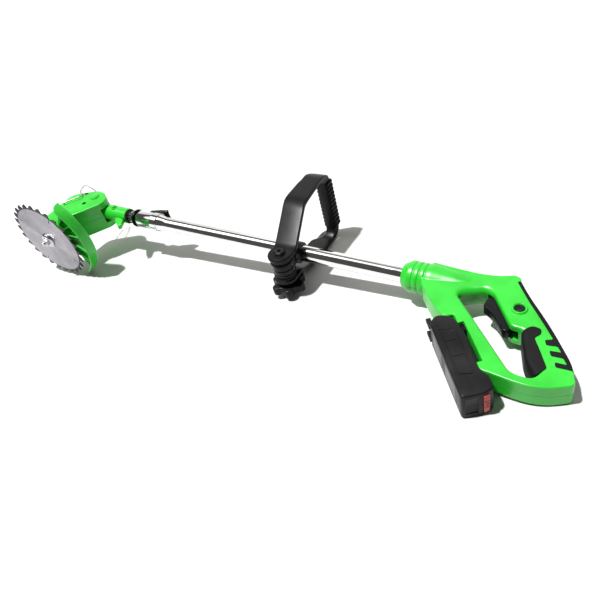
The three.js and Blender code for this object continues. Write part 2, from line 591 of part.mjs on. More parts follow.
function handleBody() {
  const lower = [onBattery(95, RAIL_T), onBattery(0, RAIL_T), onBattery(-1, 20), onBattery(-29, 14)];
  const profile = outline([
    [40, 21, 6], [67, 18.5, 16], [110, 16, 20], [135, 19, 10], [155, 26.5, 4], [163.5, 22, 3], [164.5, 15, 2],
    [182, -8, 20], [217, -49, 30], [251, -96, 20], [257.5, -109, 4], [264.5, -128, 6],
    [241, -142, 20], [220, -147, 20], [198, -146, 20], [173, -143, 8],
    [...lower[0], 3], [...lower[1], 2], [...lower[2], 5], [...lower[3], 12], [38, -22, 8],
  ]);
  const hole = outline([
    [94, -30, 6], [106, -19, 8], [128, -10, 6], [139, -16, 4], [174, -64, 5], [190, -65, 8], [197, -80, 10],
    [208, -100, 14], [225, -122, 6], [220, -133, 10], [206, -135, 10], [192, -132, 14],
  ]);
  const body = prism(profile, -HANDLE_HALF, HANDLE_HALF, 4).subtract(prism(hole, -60, 60));
  const nose = [[0, NOSE_X], [17.5, NOSE_X], [NOSE_R, NOSE_X + 11]];
  for (let i = 0; i < 3; i++) {
    const x = NOSE_X + 17 + 8.5 * i;
    nose.push([NOSE_R, x], [NOSE_R - 1.5, x + 1.8], [NOSE_R, x + 3.6]);
  }
  nose.push([NOSE_R, 50], [21.5, 64], [18.5, 100], [0, 110]);
  return body.add(turned('x', nose, [0, 0], 24));
}

// Rubber pads wrap round the grip: a slab of the given outline with the grip's core taken out of it.
function pad(corners, core, grow) {
  const reach = HANDLE_HALF + 0.8 + grow;
  const kept = HANDLE_HALF - 2 - grow;
  return prism(outline(corners), -reach, reach, 0, 4).subtract(prism(outline(core), -kept, kept));
}

// Moves every corner away from the middle of an outline's neighbours, so that a pocket clears its pad.
function grown(corners, by) {
  return corners.map(([x, y, r], i) => {
    const [px, py] = corners[(i + corners.length - 1) % corners.length];
    const [nx, ny] = corners[(i + 1) % corners.length];
    const before = new THREE.Vector2(x - px, y - py).normalize();
    const after = new THREE.Vector2(nx - x, ny - y).normalize();
    const normal = new THREE.Vector2(before.y + after.y, -before.x - after.x);
    const scale = (2 * by) / Math.max(normal.lengthSq(), 0.4);
    return [x + normal.x * scale, y + normal.y * scale, r];
  });
}

// Outlines run anticlockwise. The back pad's inner edge has three fingers.
const BACK_PAD = [
  [238.2, -110.6, 2], [235.7, -104.1, 2], [249.2, -103.6, 2], [243.2, -95.1, 2], [229.7, -96.1, 2],
  [226.2, -89.1, 2], [239.2, -87.6, 2], [233.2, -79.6, 2], [220.7, -81.6, 2], [217.2, -74.6, 2],
  [226.2, -70.6, 3], [204.2, -42.6, 20], [184.2, -18.6, 10], [160.2, 13.4, 2], [170.2, 19.4, 2],
  [190.2, -6.6, 20], [224.2, -48.6, 30], [258.2, -96.6, 20], [264.2, -109.6, 2],
].reverse();
const FRONT_PAD = [
  [188.2, -68.6, 3], [198.2, -56.6, 6], [209.2, -58.6, 3], [211.2, -66.6, 3], [205.2, -74.6, 3],
  [214.2, -88.6, 8], [230.2, -115.6, 3], [220.2, -129.6, 3], [203.2, -108.6, 8],
].reverse();
const BACK_CORE = [
  [98.2, -6.6], [161.2, 10.4], [180.2, -11.6, 20], [213.2, -51.6, 30], [248.2, -101.6, 20], [252.2, -112.6],
  [228.2, -156.6], [148.2, -116.6],
].reverse();
const FRONT_CORE = [
  [193.7, -68.6, 4], [201.2, -80.6, 10], [211.2, -99.6, 14], [227.2, -123.6, 6], [298.2, -106.6],
  [278.2, 3.4], [198.2, 3.4],
];

function buildHandle() {
  let body = handleBody();
  const bore = rod('x', TUBE_R + GAP, -20, TUBE_END_X + GAP, [0, 0], 36);
  const pocket = prism(outline(TRIGGER_ROOM), -8.6, 8.6);
  const switchBox = (size) => solid(new THREE.BoxGeometry(...size).rotateZ(-0.35).translate(163, -9, 0));
  const leads = [rod('x', 6, 50, 150, [0, 0], 10), box([90, -60, -5], [100, -8, 5])];
  const lockoffHole = rod('z', 6.5 + GAP, 5, 60, LOCKOFF, 24);
  const channelCorners = [[8, 20], [99, 20], [99, RAIL_T + 8], [8, RAIL_T + 8]];
  const channel = prism(outline(channelCorners.map(([s, t]) => onBattery(s, t))), -13.5, 13.5);
  const recesses = [pad(BACK_PAD, BACK_CORE, GAP), pad(FRONT_PAD, FRONT_CORE, GAP)];
  const [hole, foot, rim] = [6.5 + GAP, HANDLE_HALF - 3, HANDLE_HALF + 2.4];
  const boss = turned('z', [[hole, foot], [10.4, foot], [9.6, rim], [hole, rim]], LOCKOFF);
  const cuts = [bore, pocket, switchBox([14.8, 14.8, 20.8]), ...leads, channel, ...recesses];
  for (const cut of cuts) body = body.subtract(cut);
  body = body.add(rod('z', 2, -9, 9, TRIGGER_PIN, 12)).subtract(lockoffHole).add(boss);
  for (const spot of HANDLE_SCREWS) {
    body = body.subtract(rod('z', 2 + GAP, -60, 13, spot, 10));
    body = body.subtract(rod('z', 3.6 + GAP, -60, -HANDLE_HALF + 4, spot, 12));
  }
  piece('handle_shell_left', body.intersect(half(1)), GREEN);
  piece('handle_shell_right', body.intersect(half(-1)), GREEN);
  const backPad = pad(grown(BACK_PAD, -GAP), grown(BACK_CORE, GAP), 0);
  const frontPad = pad(grown(FRONT_PAD, -GAP), grown(FRONT_CORE, GAP), 0);
  piece('grip_pad_back', backPad.intersect(gripEnvelope()), RUBBER);
  piece('grip_pad_front', frontPad.intersect(gripEnvelope()), RUBBER);
  HANDLE_SCREWS.forEach((spot, i) => {
    piece(`handle_screw_${i + 1}`, screwAt(spot, -1, HANDLE_HALF - 1, 28, 3.4), STEEL);
  });

  const trigger = prism(outline(TRIGGER), -8, 8).subtract(rod('z', 2 + GAP, -20, 20, TRIGGER_PIN, 12));
  piece('trigger', trigger.subtract(rod('z', 4.6, 4, 20, TRIGGER_PIN, 16)), BLACK);
  piece('trigger_spring', spring(3.2, 0.8, 3, 3).translate([...TRIGGER_PIN, 4.8]), STEEL);
  const capTop = HANDLE_HALF + 1.6;
  const cap = [[0, 11], [6.5, 11], [6.5, capTop - 0.8], [5.6, capTop], [0, capTop]];
  piece('lockoff_button', turned('z', cap, LOCKOFF), BLACK);
  piece('lockoff_spring', spring(4, 0.9, 4, 3).translate([...LOCKOFF, 6]), STEEL);
  piece('switch_module', switchBox([14, 14, 20]), BLACK);
  const block = new THREE.BoxGeometry(16, 3.2, 24).rotateZ(turn).translate(...onBattery(19, RAIL_T + 6), 0);
  piece('terminal_block', solid(block), BLACK);
}

// The pads stay within the rounded outside of the grip.
function gripEnvelope() {
  const outside = outline([
    [150, 30], [164.9, 16, 2], [182.4, -8, 20], [217.4, -49, 30], [251.4, -96, 20], [257.9, -109, 4],
    [265, -128, 6], [221, -137], [188, -97], [187, -62, 2],
  ]);
  return prism(outside, -HANDLE_HALF - 0.8, HANDLE_HALF + 0.8, 2);
}
const HANDLE_SCREWS = [[82, -12], [118, 6], [245, -131]];

// ---- battery -----------------------------------------------------------------------------------------
const pack = new THREE.Group();
pack.position.set(...BATTERY_AT, 0);
pack.rotation.z = turn;
tool.add(pack);

function buildBattery() {
  const { length, depth, half: side, hump } = BATTERY;
  const profile = outline([
    [8, 0, 6], [length, 0, 5], [length + 1, 28, 6],
    [length - 4, depth + hump, 8], [length - 24, depth + hump, 8],
    [length - 34, depth, 6], [12, depth, 8], [0, depth - 10, 8], [-3, 10, 6],
  ]);
  const rail = box([10, depth - 1, -12.8], [97.5, RAIL_T + 4, 12.8]);
  let shell = prism(profile, -side, side, 2).add(rail);
  for (const z of [9, -15]) shell = shell.add(box([-6, -1.5, z], [10, 5, z + 6]));
  const cavity = box([4, 3, -18.4], [length - 4, depth - 3, 18.4]);
  const slot = box([length - 6.8, 25.7, -15.3], [length + 8, 34.3, 15.3]);
  shell = shell.subtract(cavity).subtract(slot);
  piece('battery_case_left', shell.intersect(half(1)), BLACK, pack);
  piece('battery_case_right', shell.intersect(half(-1)), BLACK, pack);
  [8, 60].forEach((start, row) => {
    [-CELL_R - 0.2, CELL_R + 0.2].forEach((z, column) => {
      const cell = rod('x', CELL_R, start, start + CELL_LENGTH, [13, z], 16);
      piece(`battery_cell_${2 * row + column + 1}`, cell, CELL, pack);
    });
  });
  piece('battery_board', box([40, 25, -16], [96, 27, 16]), BOARD, pack);
  const release = outline([
    [length - 3, 26, 1], [length + 2.4, 26, 1.5], [length + 1.4, 34, 1.5], [length - 3, 34, 1],
  ]);
  piece('battery_release', prism(release, -15, 15), RED, pack);
}

buildHead();
buildGuard();
buildBlade();
buildWireSpacer();
buildNeck();
buildPole();
buildDHandle();
buildClamp();
buildHandle();
buildBattery();

// ---- at rest on the floor ------------------------------------------------------------------------------
// The tool lies on its right side, on the lowest corners of the guard, the D-handle and the battery case.
function settle() {
  tool.updateMatrixWorld(true);
  const rests = ['blade_guard', 'd_handle_frame', 'battery_case_right'].map((name) => {
    const mesh = tool.getObjectByName(name);
    return mesh.geometry.clone().applyMatrix4(mesh.matrixWorld).attributes.position;
  });
  let up = new THREE.Vector3(0, 0, 1);
  for (let round = 0; round < 8; round++) {
    const [a, b, c] = rests.map((points) => {
      const lowest = new THREE.Vector3(0, 0, 1e6);
      const point = new THREE.Vector3();
      for (let i = 0; i < points.count; i++) {
        point.fromBufferAttribute(points, i);
        if (i === 0 || point.dot(up) < lowest.dot(up)) lowest.copy(point);
      }
      return lowest;
    });
    up = b.clone().sub(a).cross(c.clone().sub(a)).normalize();
    if (up.z < 0) up.negate();
  }
  tool.quaternion.setFromUnitVectors(up, new THREE.Vector3(0, 0, 1));
  const bounds = new THREE.Box3().setFromObject(tool, true);
  const centre = bounds.getCenter(new THREE.Vector3());
  tool.position.set(-centre.x, -centre.y, -bounds.min.z);
}

settle();
const brushCutter = new THREE.Group();
brushCutter.add(tool);
export default brushCutter;
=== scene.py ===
import json
import math

import bmesh
import bpy
from mathutils import Matrix, Quaternion, Vector


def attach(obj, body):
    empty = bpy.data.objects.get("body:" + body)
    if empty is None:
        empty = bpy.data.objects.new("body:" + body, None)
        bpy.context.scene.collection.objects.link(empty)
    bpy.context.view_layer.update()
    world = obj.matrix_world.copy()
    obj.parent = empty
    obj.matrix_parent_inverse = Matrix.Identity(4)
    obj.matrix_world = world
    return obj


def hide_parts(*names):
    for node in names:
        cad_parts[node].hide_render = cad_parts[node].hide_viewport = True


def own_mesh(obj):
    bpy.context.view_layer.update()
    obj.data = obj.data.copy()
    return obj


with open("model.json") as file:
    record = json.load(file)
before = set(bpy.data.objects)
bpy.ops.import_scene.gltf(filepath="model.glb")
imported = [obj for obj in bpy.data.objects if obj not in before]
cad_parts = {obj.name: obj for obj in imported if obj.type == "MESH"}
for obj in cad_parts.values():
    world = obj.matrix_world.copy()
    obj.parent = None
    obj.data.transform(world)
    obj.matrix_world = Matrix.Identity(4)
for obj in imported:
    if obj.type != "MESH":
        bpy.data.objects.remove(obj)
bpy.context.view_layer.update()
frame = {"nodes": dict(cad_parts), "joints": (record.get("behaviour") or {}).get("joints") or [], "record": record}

# ---- the tool's own frame ----------------------------------------------------------------------------
# Millimetres: +X along the pole towards the rear handle, +Y towards the D-handle, z = 0 the mirror plane.
JOINTS = {j["name"]: j for j in frame["joints"]}
PIVOT_X = -628
AXIS_X = -Vector(JOINTS["pole_slide"]["axis"])
AXIS_Z = Vector(JOINTS["head_tilt"]["axis"])
AXIS_Y = AXIS_Z.cross(AXIS_X)
ORIGIN = Vector(JOINTS["head_tilt"]["pos_m"]) - AXIS_X * PIVOT_X * 0.001
TOOL_AXES = Matrix((AXIS_X, AXIS_Y, AXIS_Z)).transposed().to_4x4()
TOOL = Matrix.Translation(ORIGIN) @ TOOL_AXES @ Matrix.Scale(0.001, 4)


def at(x, y, z):
    """A point of the tool frame, in the part's frame."""
    return TOOL @ Vector((x, y, z))


# ---- materials ---------------------------------------------------------------------------------------
def new_material(name):
    material = bpy.data.materials.new(name)
    material.use_nodes = True
    nodes, links = material.node_tree.nodes, material.node_tree.links
    return material, nodes, links, nodes["Principled BSDF"]


def noise(nodes, links, scale, detail=3.0, source=None):
    texture = nodes.new("ShaderNodeTexNoise")
    texture.inputs["Scale"].default_value = scale
    texture.inputs["Detail"].default_value = detail
    if source is None:
        source = nodes.new("ShaderNodeTexCoord").outputs["Object"]
    links.new(source, texture.inputs["Vector"])
    return texture.outputs["Fac"]


def ranged(nodes, links, value, low, high, from_low=0.3, from_high=0.7):
    node = nodes.new("ShaderNodeMapRange")
    node.inputs["From Min"].default_value = from_low
    node.inputs["From Max"].default_value = from_high
    node.inputs["To Min"].default_value = low
    node.inputs["To Max"].default_value = high
    links.new(value, node.inputs["Value"])
    return node.outputs["Result"]


def tinted(nodes, links, factor, dark, light):
    mix = nodes.new("ShaderNodeMix")
    mix.data_type = "RGBA"
    mix.inputs[6].default_value = (*dark, 1)
    mix.inputs[7].default_value = (*light, 1)
    links.new(factor, mix.inputs[0])
    return mix.outputs[2]


def bumped(nodes, links, bsdf, height, strength, distance, edge=0.0):
    bump = nodes.new("ShaderNodeBump")
    bump.inputs["Strength"].default_value = strength
    bump.inputs["Distance"].default_value = distance
    links.new(height, bump.inputs["Height"])
    if edge:
        bevel = nodes.new("ShaderNodeBevel")
        bevel.samples = 4
        bevel.inputs["Radius"].default_value = edge
        links.new(bevel.outputs["Normal"], bump.inputs["Normal"])
    links.new(bump.outputs["Normal"], bsdf.inputs["Normal"])


def plastic(name, dark, light, roughness, grain, strength, coat=0.0, edge=0.0006, shine=0.5):
    """Moulded plastic: a fine spark-eroded grain, slow changes of gloss and colour, and softened edges."""
    material, nodes, links, bsdf = new_material(name)
    slow = noise(nodes, links, 28, 4)
    links.new(tinted(nodes, links, ranged(nodes, links, slow, 0, 1), dark, light), bsdf.inputs["Base Color"])
    links.new(ranged(nodes, links, slow, roughness * 0.85, roughness * 1.2), bsdf.inputs["Roughness"])
    bsdf.inputs["Coat Weight"].default_value = coat
    bsdf.inputs["Specular IOR Level"].default_value = shine
    bsdf.inputs["Coat Roughness"].default_value = 0.2
    bumped(nodes, links, bsdf, noise(nodes, links, grain, 2), strength, 0.0003, edge)
    return material


def metal(name, color, low, high, grain, strength, edge=0.0):
    material, nodes, links, bsdf = new_material(name)
    bsdf.inputs["Metallic"].default_value = 1
    wear = noise(nodes, links, grain, 5)
    shade = [c * 0.86 for c in color]
    links.new(tinted(nodes, links, ranged(nodes, links, wear, 0, 1), shade, color), bsdf.inputs["Base Color"])
    links.new(ranged(nodes, links, wear, low, high), bsdf.inputs["Roughness"])
    bumped(nodes, links, bsdf, noise(nodes, links, grain * 12, 2), strength, 0.0001, edge)
    return material


def brushed_round(name, color):
    """Metal ground in circles about the object's own Z axis, as on a saw blade; the toothed rim has a painted dark
    reflection.
    """
    material, nodes, links, bsdf = new_material(name)
    bsdf.inputs["Metallic"].default_value = 1
    position = nodes.new("ShaderNodeTexCoord").outputs["Object"]
    radius = nodes.new("ShaderNodeVectorMath")
    radius.operation = "LENGTH"
    links.new(position, radius.inputs[0])
    rings = nodes.new("ShaderNodeTexNoise")
    rings.noise_dimensions = "1D"
    rings.inputs["Scale"].default_value = 2600
    rings.inputs["Detail"].default_value = 4
    links.new(radius.outputs["Value"], rings.inputs["W"])
    stain = noise(nodes, links, 34, 5, position)
    shade = [c * 0.72 for c in color]
    face = tinted(nodes, links, ranged(nodes, links, stain, 0, 1), shade, color)
    # Painted dark reflection: beyond about 72 mm from the axis the rim and teeth are coloured near black, standing
    # in for the dark reflections of the angled teeth.
    edge = nodes.new("ShaderNodeMix")
    edge.data_type = "RGBA"
    edge.inputs[7].default_value = (0.035, 0.035, 0.038, 1)
    links.new(ranged(nodes, links, radius.outputs["Value"], 0, 1, 0.0715, 0.0735), edge.inputs[0])
    links.new(face, edge.inputs[6])
    links.new(edge.outputs[2], bsdf.inputs["Base Color"])
    links.new(ranged(nodes, links, rings.outputs["Fac"], 0.26, 0.42), bsdf.inputs["Roughness"])
    bsdf.inputs["Anisotropic"].default_value = 0.85
    tangent = nodes.new("ShaderNodeTangent")
    tangent.direction_type = "RADIAL"
    tangent.axis = "Z"
    links.new(tangent.outputs["Tangent"], bsdf.inputs["Tangent"])
    bumped(nodes, links, bsdf, rings.outputs["Fac"], 0.12, 0.00004)
    return material


GREEN = plastic("green_moulded", (0.014, 0.40, 0.018), (0.022, 0.52, 0.028), 0.34, 2600, 0.10, 0.25)
BLACK = plastic("black_moulded", (0.004, 0.004, 0.005), (0.009, 0.009, 0.010), 0.3, 1900, 0.2, shine=0.16)
CASE = plastic("battery_moulded", (0.005, 0.005, 0.006), (0.011, 0.011, 0.012), 0.38, 1500, 0.25, shine=0.18)
PANEL = plastic("battery_panel", (0.13, 0.13, 0.14), (0.19, 0.19, 0.205), 0.5, 1500, 0.3, shine=0.3)
RUBBER = plastic("soft_rubber", (0.004, 0.004, 0.0045), (0.009, 0.009, 0.0095), 0.6, 1300, 0.35, shine=0.12)
RED = plastic("red_moulded", (0.28, 0.006, 0.004), (0.40, 0.010, 0.006), 0.34, 2400, 0.12, 0.2)
BOARD = plastic("circuit_board", (0.012, 0.10, 0.03), (0.02, 0.16, 0.05), 0.5, 900, 0.2)
WRAP = plastic("cell_wrap", (0.03, 0.16, 0.42), (0.05, 0.24, 0.55), 0.3, 800, 0.1)
SATIN = metal("satin_chrome", (0.86, 0.865, 0.88), 0.2, 0.32, 60, 0.05)
CHROME = metal("chrome_plate", (0.90, 0.905, 0.92), 0.035, 0.075, 60, 0.02)
STEEL = metal("plain_steel", (0.62, 0.62, 0.63), 0.22, 0.38, 160, 0.15, 0.0002)
DARK_STEEL = metal("blackened_steel", (0.05, 0.05, 0.053), 0.3, 0.45, 160, 0.2, 0.0003)
BLADE_STEEL = brushed_round("ground_blade_steel", (0.43, 0.415, 0.455))
SLOT_MATERIAL = {
    "green_plastic": GREEN, "black_plastic": BLACK, "rubber": RUBBER, "chrome_tube": CHROME, "steel": STEEL,
    "blade_steel": STEEL, "red_plastic": RED, "circuit_board": BOARD, "cell_wrap": WRAP,
}
NODE_SLOT = {s["node"]: s["material_slot"] for s in frame["record"]["subparts"]}
BODIES = frame["record"]["behaviour"]["bodies"]
NODE_BODY = {node: body for body, members in BODIES.items() for node in members}
for node, cad in frame["nodes"].items():
    cad.data.materials.clear()
    cad.data.materials.append(SLOT_MATERIAL[NODE_SLOT[node]])


# ---- mesh tools, all in tool millimetres -------------------------------------------------------------
def on_circle(r, degrees, centre=(0, 0)):
    a = math.radians(degrees)
    return (centre[0] + r * math.cos(a), centre[1] + r * math.sin(a))


def rounded(corners, steps=6, closed=True):
    """Corners are (x, y, reach); each is rounded by a quadratic curve that starts and ends reach away."""
    points = []
    last = len(corners) - 1
    for i, corner in enumerate(corners):
        here = Vector(corner[:2])
        reach = corner[2] if len(corner) > 2 else 0
        if not reach or (not closed and i in (0, last)):
            points.append(tuple(here))
            continue
        before = Vector(corners[i - 1][:2]) - here
        after = Vector(corners[(i + 1) % len(corners)][:2]) - here
        reach = min(reach, 0.49 * before.length, 0.49 * after.length)
        start, end = here + before.normalized() * reach, here + after.normalized() * reach
        for k in range(steps + 1):
            t = k / steps
            points.append(tuple(start * (1 - t) ** 2 + here * 2 * t * (1 - t) + end * t * t))
    return points


def to_object(bm, name="part"):
    bmesh.ops.remove_doubles(bm, verts=bm.verts, dist=1e-4)
    bmesh.ops.recalc_face_normals(bm, faces=bm.faces)
    mesh = bpy.data.meshes.new(name)
    bm.to_mesh(mesh)
    bm.free()
    obj = bpy.data.objects.new(name, mesh)
    bpy.context.scene.collection.objects.link(obj)
    return obj


PLANES = {
    "xy": Matrix.Identity(4),
    "xz": Matrix(((1, 0, 0, 0), (0, 0, 1, 0), (0, 1, 0, 0), (0, 0, 0, 1))),
    "yz": Matrix(((0, 0, 1, 0), (1, 0, 0, 0), (0, 1, 0, 0), (0, 0, 0, 1))),
}


def prism(points, low, high, bevel=0.0, segments=3, plane="xy"):
    """A flat outline given thickness; bevel rounds the edges of its two flat faces."""
    bm = bmesh.new()
    face = bm.faces.new([bm.verts.new((x, y, low)) for x, y in points])
    extruded = bmesh.ops.extrude_face_region(bm, geom=[face])["geom"]
    lifted = [g for g in extruded if isinstance(g, bmesh.types.BMVert)]
    bmesh.ops.translate(bm, verts=lifted, vec=(0, 0, high - low))
    bmesh.ops.recalc_face_normals(bm, faces=bm.faces)
    if bevel:
        rims = [e for e in bm.edges if abs(e.verts[0].co.z - e.verts[1].co.z) < 1e-6]
        bmesh.ops.bevel(bm, geom=rims, offset=bevel, segments=segments, profile=0.5, affect="EDGES",
                        clamp_overlap=True)
    bmesh.ops.transform(bm, matrix=PLANES[plane], verts=bm.verts)
    return to_object(bm)


def block(low, high, bevel=0.0, segments=2):
    (x0, y0, z0), (x1, y1, z1) = low, high
    bm = bmesh.new()
    bmesh.ops.create_cube(bm, size=1)
    size = Matrix.Diagonal((x1 - x0, y1 - y0, z1 - z0, 1))
    middle = Matrix.Translation(((x0 + x1) / 2, (y0 + y1) / 2, (z0 + z1) / 2))
    bmesh.ops.transform(bm, matrix=middle @ size, verts=bm.verts)
    if bevel:
        bmesh.ops.bevel(bm, geom=bm.edges[:], offset=bevel, segments=segments, profile=0.5, affect="EDGES")
    return to_object(bm)


TURNS = {
    "x": Matrix(((0, 1, 0, 0), (1, 0, 0, 0), (0, 0, 1, 0), (0, 0, 0, 1))),
    "y": Matrix.Identity(4),
    "z": Matrix(((1, 0, 0, 0), (0, 0, 1, 0), (0, 1, 0, 0), (0, 0, 0, 1))),
}


def lathe(axis, profile, centre=(0, 0), steps=64, ripple=None):
    """A turned shape.

    The profile holds (radius, place along the axis), and ripple(angle, radius) may change the radius.
    """
    bm = bmesh.new()
    rings = []
    for r, s in profile:
        if r < 1e-6:
            rings.append([bm.verts.new((0, s, 0))])
            continue
        ring = []
        for k in range(steps):
            a = 2 * math.pi * k / steps
            rr = ripple(a, r) if ripple else r
            ring.append(bm.verts.new((rr * math.cos(a), s, rr * math.sin(a))))
        rings.append(ring)
    pairs = list(zip(rings, rings[1:]))
    if profile[0][0] > 1e-6:
        pairs.append((rings[-1], rings[0]))
    for a, b in pairs:
        for k in range(steps):
            m = (k + 1) % steps
            corners = [a[k % len(a)], a[m % len(a)], b[m % len(b)], b[k % len(b)]]
            unique = list(dict.fromkeys(corners))
            if len(unique) > 2:
                bm.faces.new(unique)
    u, v = centre
    place = {"x": (0, u, v), "y": (u, 0, v), "z": (u, v, 0)}[axis]
    bmesh.ops.transform(bm, matrix=Matrix.Translation(place) @ TURNS[axis], verts=bm.verts)
    return to_object(bm)


def rod(axis, r, low, high, centre=(0, 0), steps=48, bevel=0.0):
    profile = [(0, low), (r, low), (r, high), (0, high)]
    if bevel:
        profile = [(0, low), (r - bevel, low), (r, low + bevel), (r, high - bevel), (r - bevel, high),
                   (0, high)]
    return lathe(axis, profile, centre, steps)


def sweep(points, radius, sides=12, steps=10):
    """A round wire along a smooth path through the points."""
    knots = [Vector(p) for p in points]
    line = []
    for i in range(len(knots) - 1):
        p0, p1, p2, p3 = knots[max(i - 1, 0)], knots[i], knots[i + 1], knots[min(i + 2, len(knots) - 1)]
        for k in range(steps):
            t = k / steps
            square = (2 * p0 - 5 * p1 + 4 * p2 - p3) * t * t
            cube = (3 * p1 - p0 - 3 * p2 + p3) * t ** 3
            line.append(0.5 * (2 * p1 + (p2 - p0) * t + square + cube))
    line.append(knots[-1])
    bm = bmesh.new()
    rings, normal = [], None
    angles = [2 * math.pi * k / sides for k in range(sides)]
    for i, point in enumerate(line):
        tangent = (line[min(i + 1, len(line) - 1)] - line[max(i - 1, 0)]).normalized()
        if normal is None:
            normal = tangent.orthogonal().normalized()
        normal = (normal - tangent * normal.dot(tangent)).normalized()
        side = tangent.cross(normal)
        spokes = [normal * math.cos(a) + side * math.sin(a) for a in angles]
        rings.append([bm.verts.new(point + spoke * radius) for spoke in spokes])
    for a, b in zip(rings, rings[1:]):
        for k in range(sides):
            m = (k + 1) % sides
            bm.faces.new((a[k], a[m], b[m], b[k]))
    bm.faces.new(rings[0])
    bm.faces.new(rings[-1])
    return to_object(bm)


def loft(sections):
    """A closed skin through sections with the same number of points, with flat ends."""
    bm = bmesh.new()
    rings = [[bm.verts.new(p) for p in section] for section in sections]
    for a, b in zip(rings, rings[1:]):
        for k in range(len(a)):
            m = (k + 1) % len(a)
            bm.faces.new((a[k], a[m], b[m], b[k]))
    bm.faces.new(rings[0])
    bm.faces.new(rings[-1])
    return to_object(bm)


def bake(obj):
    graph = bpy.context.evaluated_depsgraph_get()
    mesh = bpy.data.meshes.new_from_object(obj.evaluated_get(graph))
    obj.modifiers.clear()
    old = obj.data
    obj.data = mesh
    bpy.data.meshes.remove(old)
    return obj


def combine(obj, how, *others):
    for other in others:
        modifier = obj.modifiers.new("combine", "BOOLEAN")
        modifier.operation = how
        modifier.object = other
        modifier.solver = "EXACT"
        bake(obj)
        bpy.data.objects.remove(other)
    return obj


def cut(obj, *others):
    return combine(obj, "DIFFERENCE", *others)


def join(obj, *others):
    return combine(obj, "UNION", *others)


def meet(obj, *others):
    return combine(obj, "INTERSECT", *others)


def melt(obj, voxel, rounds):
    """Blends a joined shape into one soft moulding: an even skin, then a few rounds of smoothing."""
    remesh = obj.modifiers.new("skin", "REMESH")
    remesh.mode = "VOXEL"
    remesh.voxel_size = voxel
    smooth = obj.modifiers.new("soften", "SMOOTH")
    smooth.factor = 0.5
    smooth.iterations = rounds
    return bake(obj)


def moved(obj, matrix):
    obj.data.transform(matrix)
    return obj


def copy_of(obj):
    twin = bpy.data.objects.new(obj.name, obj.data.copy())
    bpy.context.scene.collection.objects.link(twin)
    return twin


def half_of(obj, side, gap=0.3):
    """The part of a moulding on one side of the mirror plane, closed along the joint."""
    twin = copy_of(obj)
    bm = bmesh.new()
    bm.from_mesh(twin.data)
    everything = bm.verts[:] + bm.edges[:] + bm.faces[:]
    bmesh.ops.bisect_plane(bm, geom=everything, dist=1e-5, plane_co=(0, 0, side * gap / 2),
                           plane_no=(0, 0, -side), clear_outer=True)
    rim = [e for e in bm.edges if e.is_boundary]
    bmesh.ops.triangle_fill(bm, edges=rim, use_beauty=True)
    bmesh.ops.recalc_face_normals(bm, faces=bm.faces)
    bm.to_mesh(twin.data)
    bm.free()
    return twin


def show(obj, node, material, name=None, sharp=32, origin=None):
    """Puts a finished piece into the part's frame, on its body, in place of the CAD node of that name."""
    nodes = [node] if isinstance(node, str) else list(node)
    obj.name = name or nodes[0] + "_fine"
    obj.data.name = obj.name
    obj.data.transform(TOOL)
    if origin is not None:
        obj.data.transform(origin.inverted())
        obj.matrix_world = origin
    obj.data.materials.clear()
    obj.data.materials.append(material)
    for polygon in obj.data.polygons:
        polygon.use_smooth = True
        polygon.material_index = 0
    obj.data.set_sharp_from_angle(angle=math.radians(sharp))
    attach(obj, NODE_BODY[nodes[0]])
    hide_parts(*nodes)
    return obj


def press_spring(node, spot, radius, wire, low, high):
    """A coil under a button, from low to high."""
    turns, parts = 3, 16
    coil = []
    for k in range(turns * parts + 1):
        x, y = on_circle(radius, 360 * k / parts, spot)
        coil.append((x, y, low + wire / 2 + (high - low - wire) * k / (turns * parts)))
    spring = show(sweep(coil, wire / 2, 8, 1), node, STEEL, sharp=60)
    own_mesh(spring)


# ---- pole --------------------------------------------------------------------------------------------
TUBE_R, SLEEVE_R, INNER_R, BORE_R = 12.5, 15.6, 10.8, 11.3
SLEEVE_FRONT, TUBE_REAR = -539, 60
INNER_FRONT, INNER_REAR = -590, -250
TUBE_ROOM = 12.8
FLUTES = 12
LOCK_PIN = (-481, 21.6)
LOCK_PIN_HOLE = 2


def build_pole():
    tube = [(BORE_R, -538.4), (11.7, SLEEVE_FRONT), (SLEEVE_R - 0.5, SLEEVE_FRONT), (SLEEVE_R, -538.4),
            (SLEEVE_R, -484), (SLEEVE_R - 0.3, -481), (SLEEVE_R - 1.2, -475), (TUBE_R + 0.9, -469),
            (TUBE_R + 0.2, -464.5), (TUBE_R, -461), (TUBE_R, TUBE_REAR), (BORE_R, TUBE_REAR)]
    shell = lathe("x", tube, steps=96)
    cut(shell, block((-514.3, 8, -5.3), (-501.7, 20, 5.3)))
    show(shell, "outer_tube", CHROME, sharp=40)
    flutes = []
    for i in range(96):
        a = math.radians(i * 3.75)
        r = INNER_R - 0.9 * (0.5 - 0.5 * math.tanh(4 * math.cos(FLUTES * a)))
        flutes.append((r * math.cos(a), r * math.sin(a)))
    inner = prism(flutes, INNER_FRONT, INNER_REAR, 0.3, 1, "yz")
    cut(inner, rod("x", INNER_R - 2, -600, -240, steps=32))
    show(inner, "inner_tube", SATIN, sharp=50)
    ring = [(BORE_R, -542), (16, -542), (16.6, -540.6), (16.6, -538), (16.3, -537.5), (15.9, -537.5),
            (15.9, -539.3), (BORE_R, -539.3)]
    show(lathe("x", ring, steps=72), "sleeve_ring", BLACK)
    collar = [(11.1, -562.7), (13.6, -562.7), (13.6, -560.4), (13.1, -559.8), (11.1, -559.8)]
    def collar_flutes(angle, r):
        return r - (1.1 if r > 12 and math.cos(FLUTES * angle) > 0 else 0)

    show(lathe("x", collar, (0, 0), 96, collar_flutes), "neck_collar", BLACK)


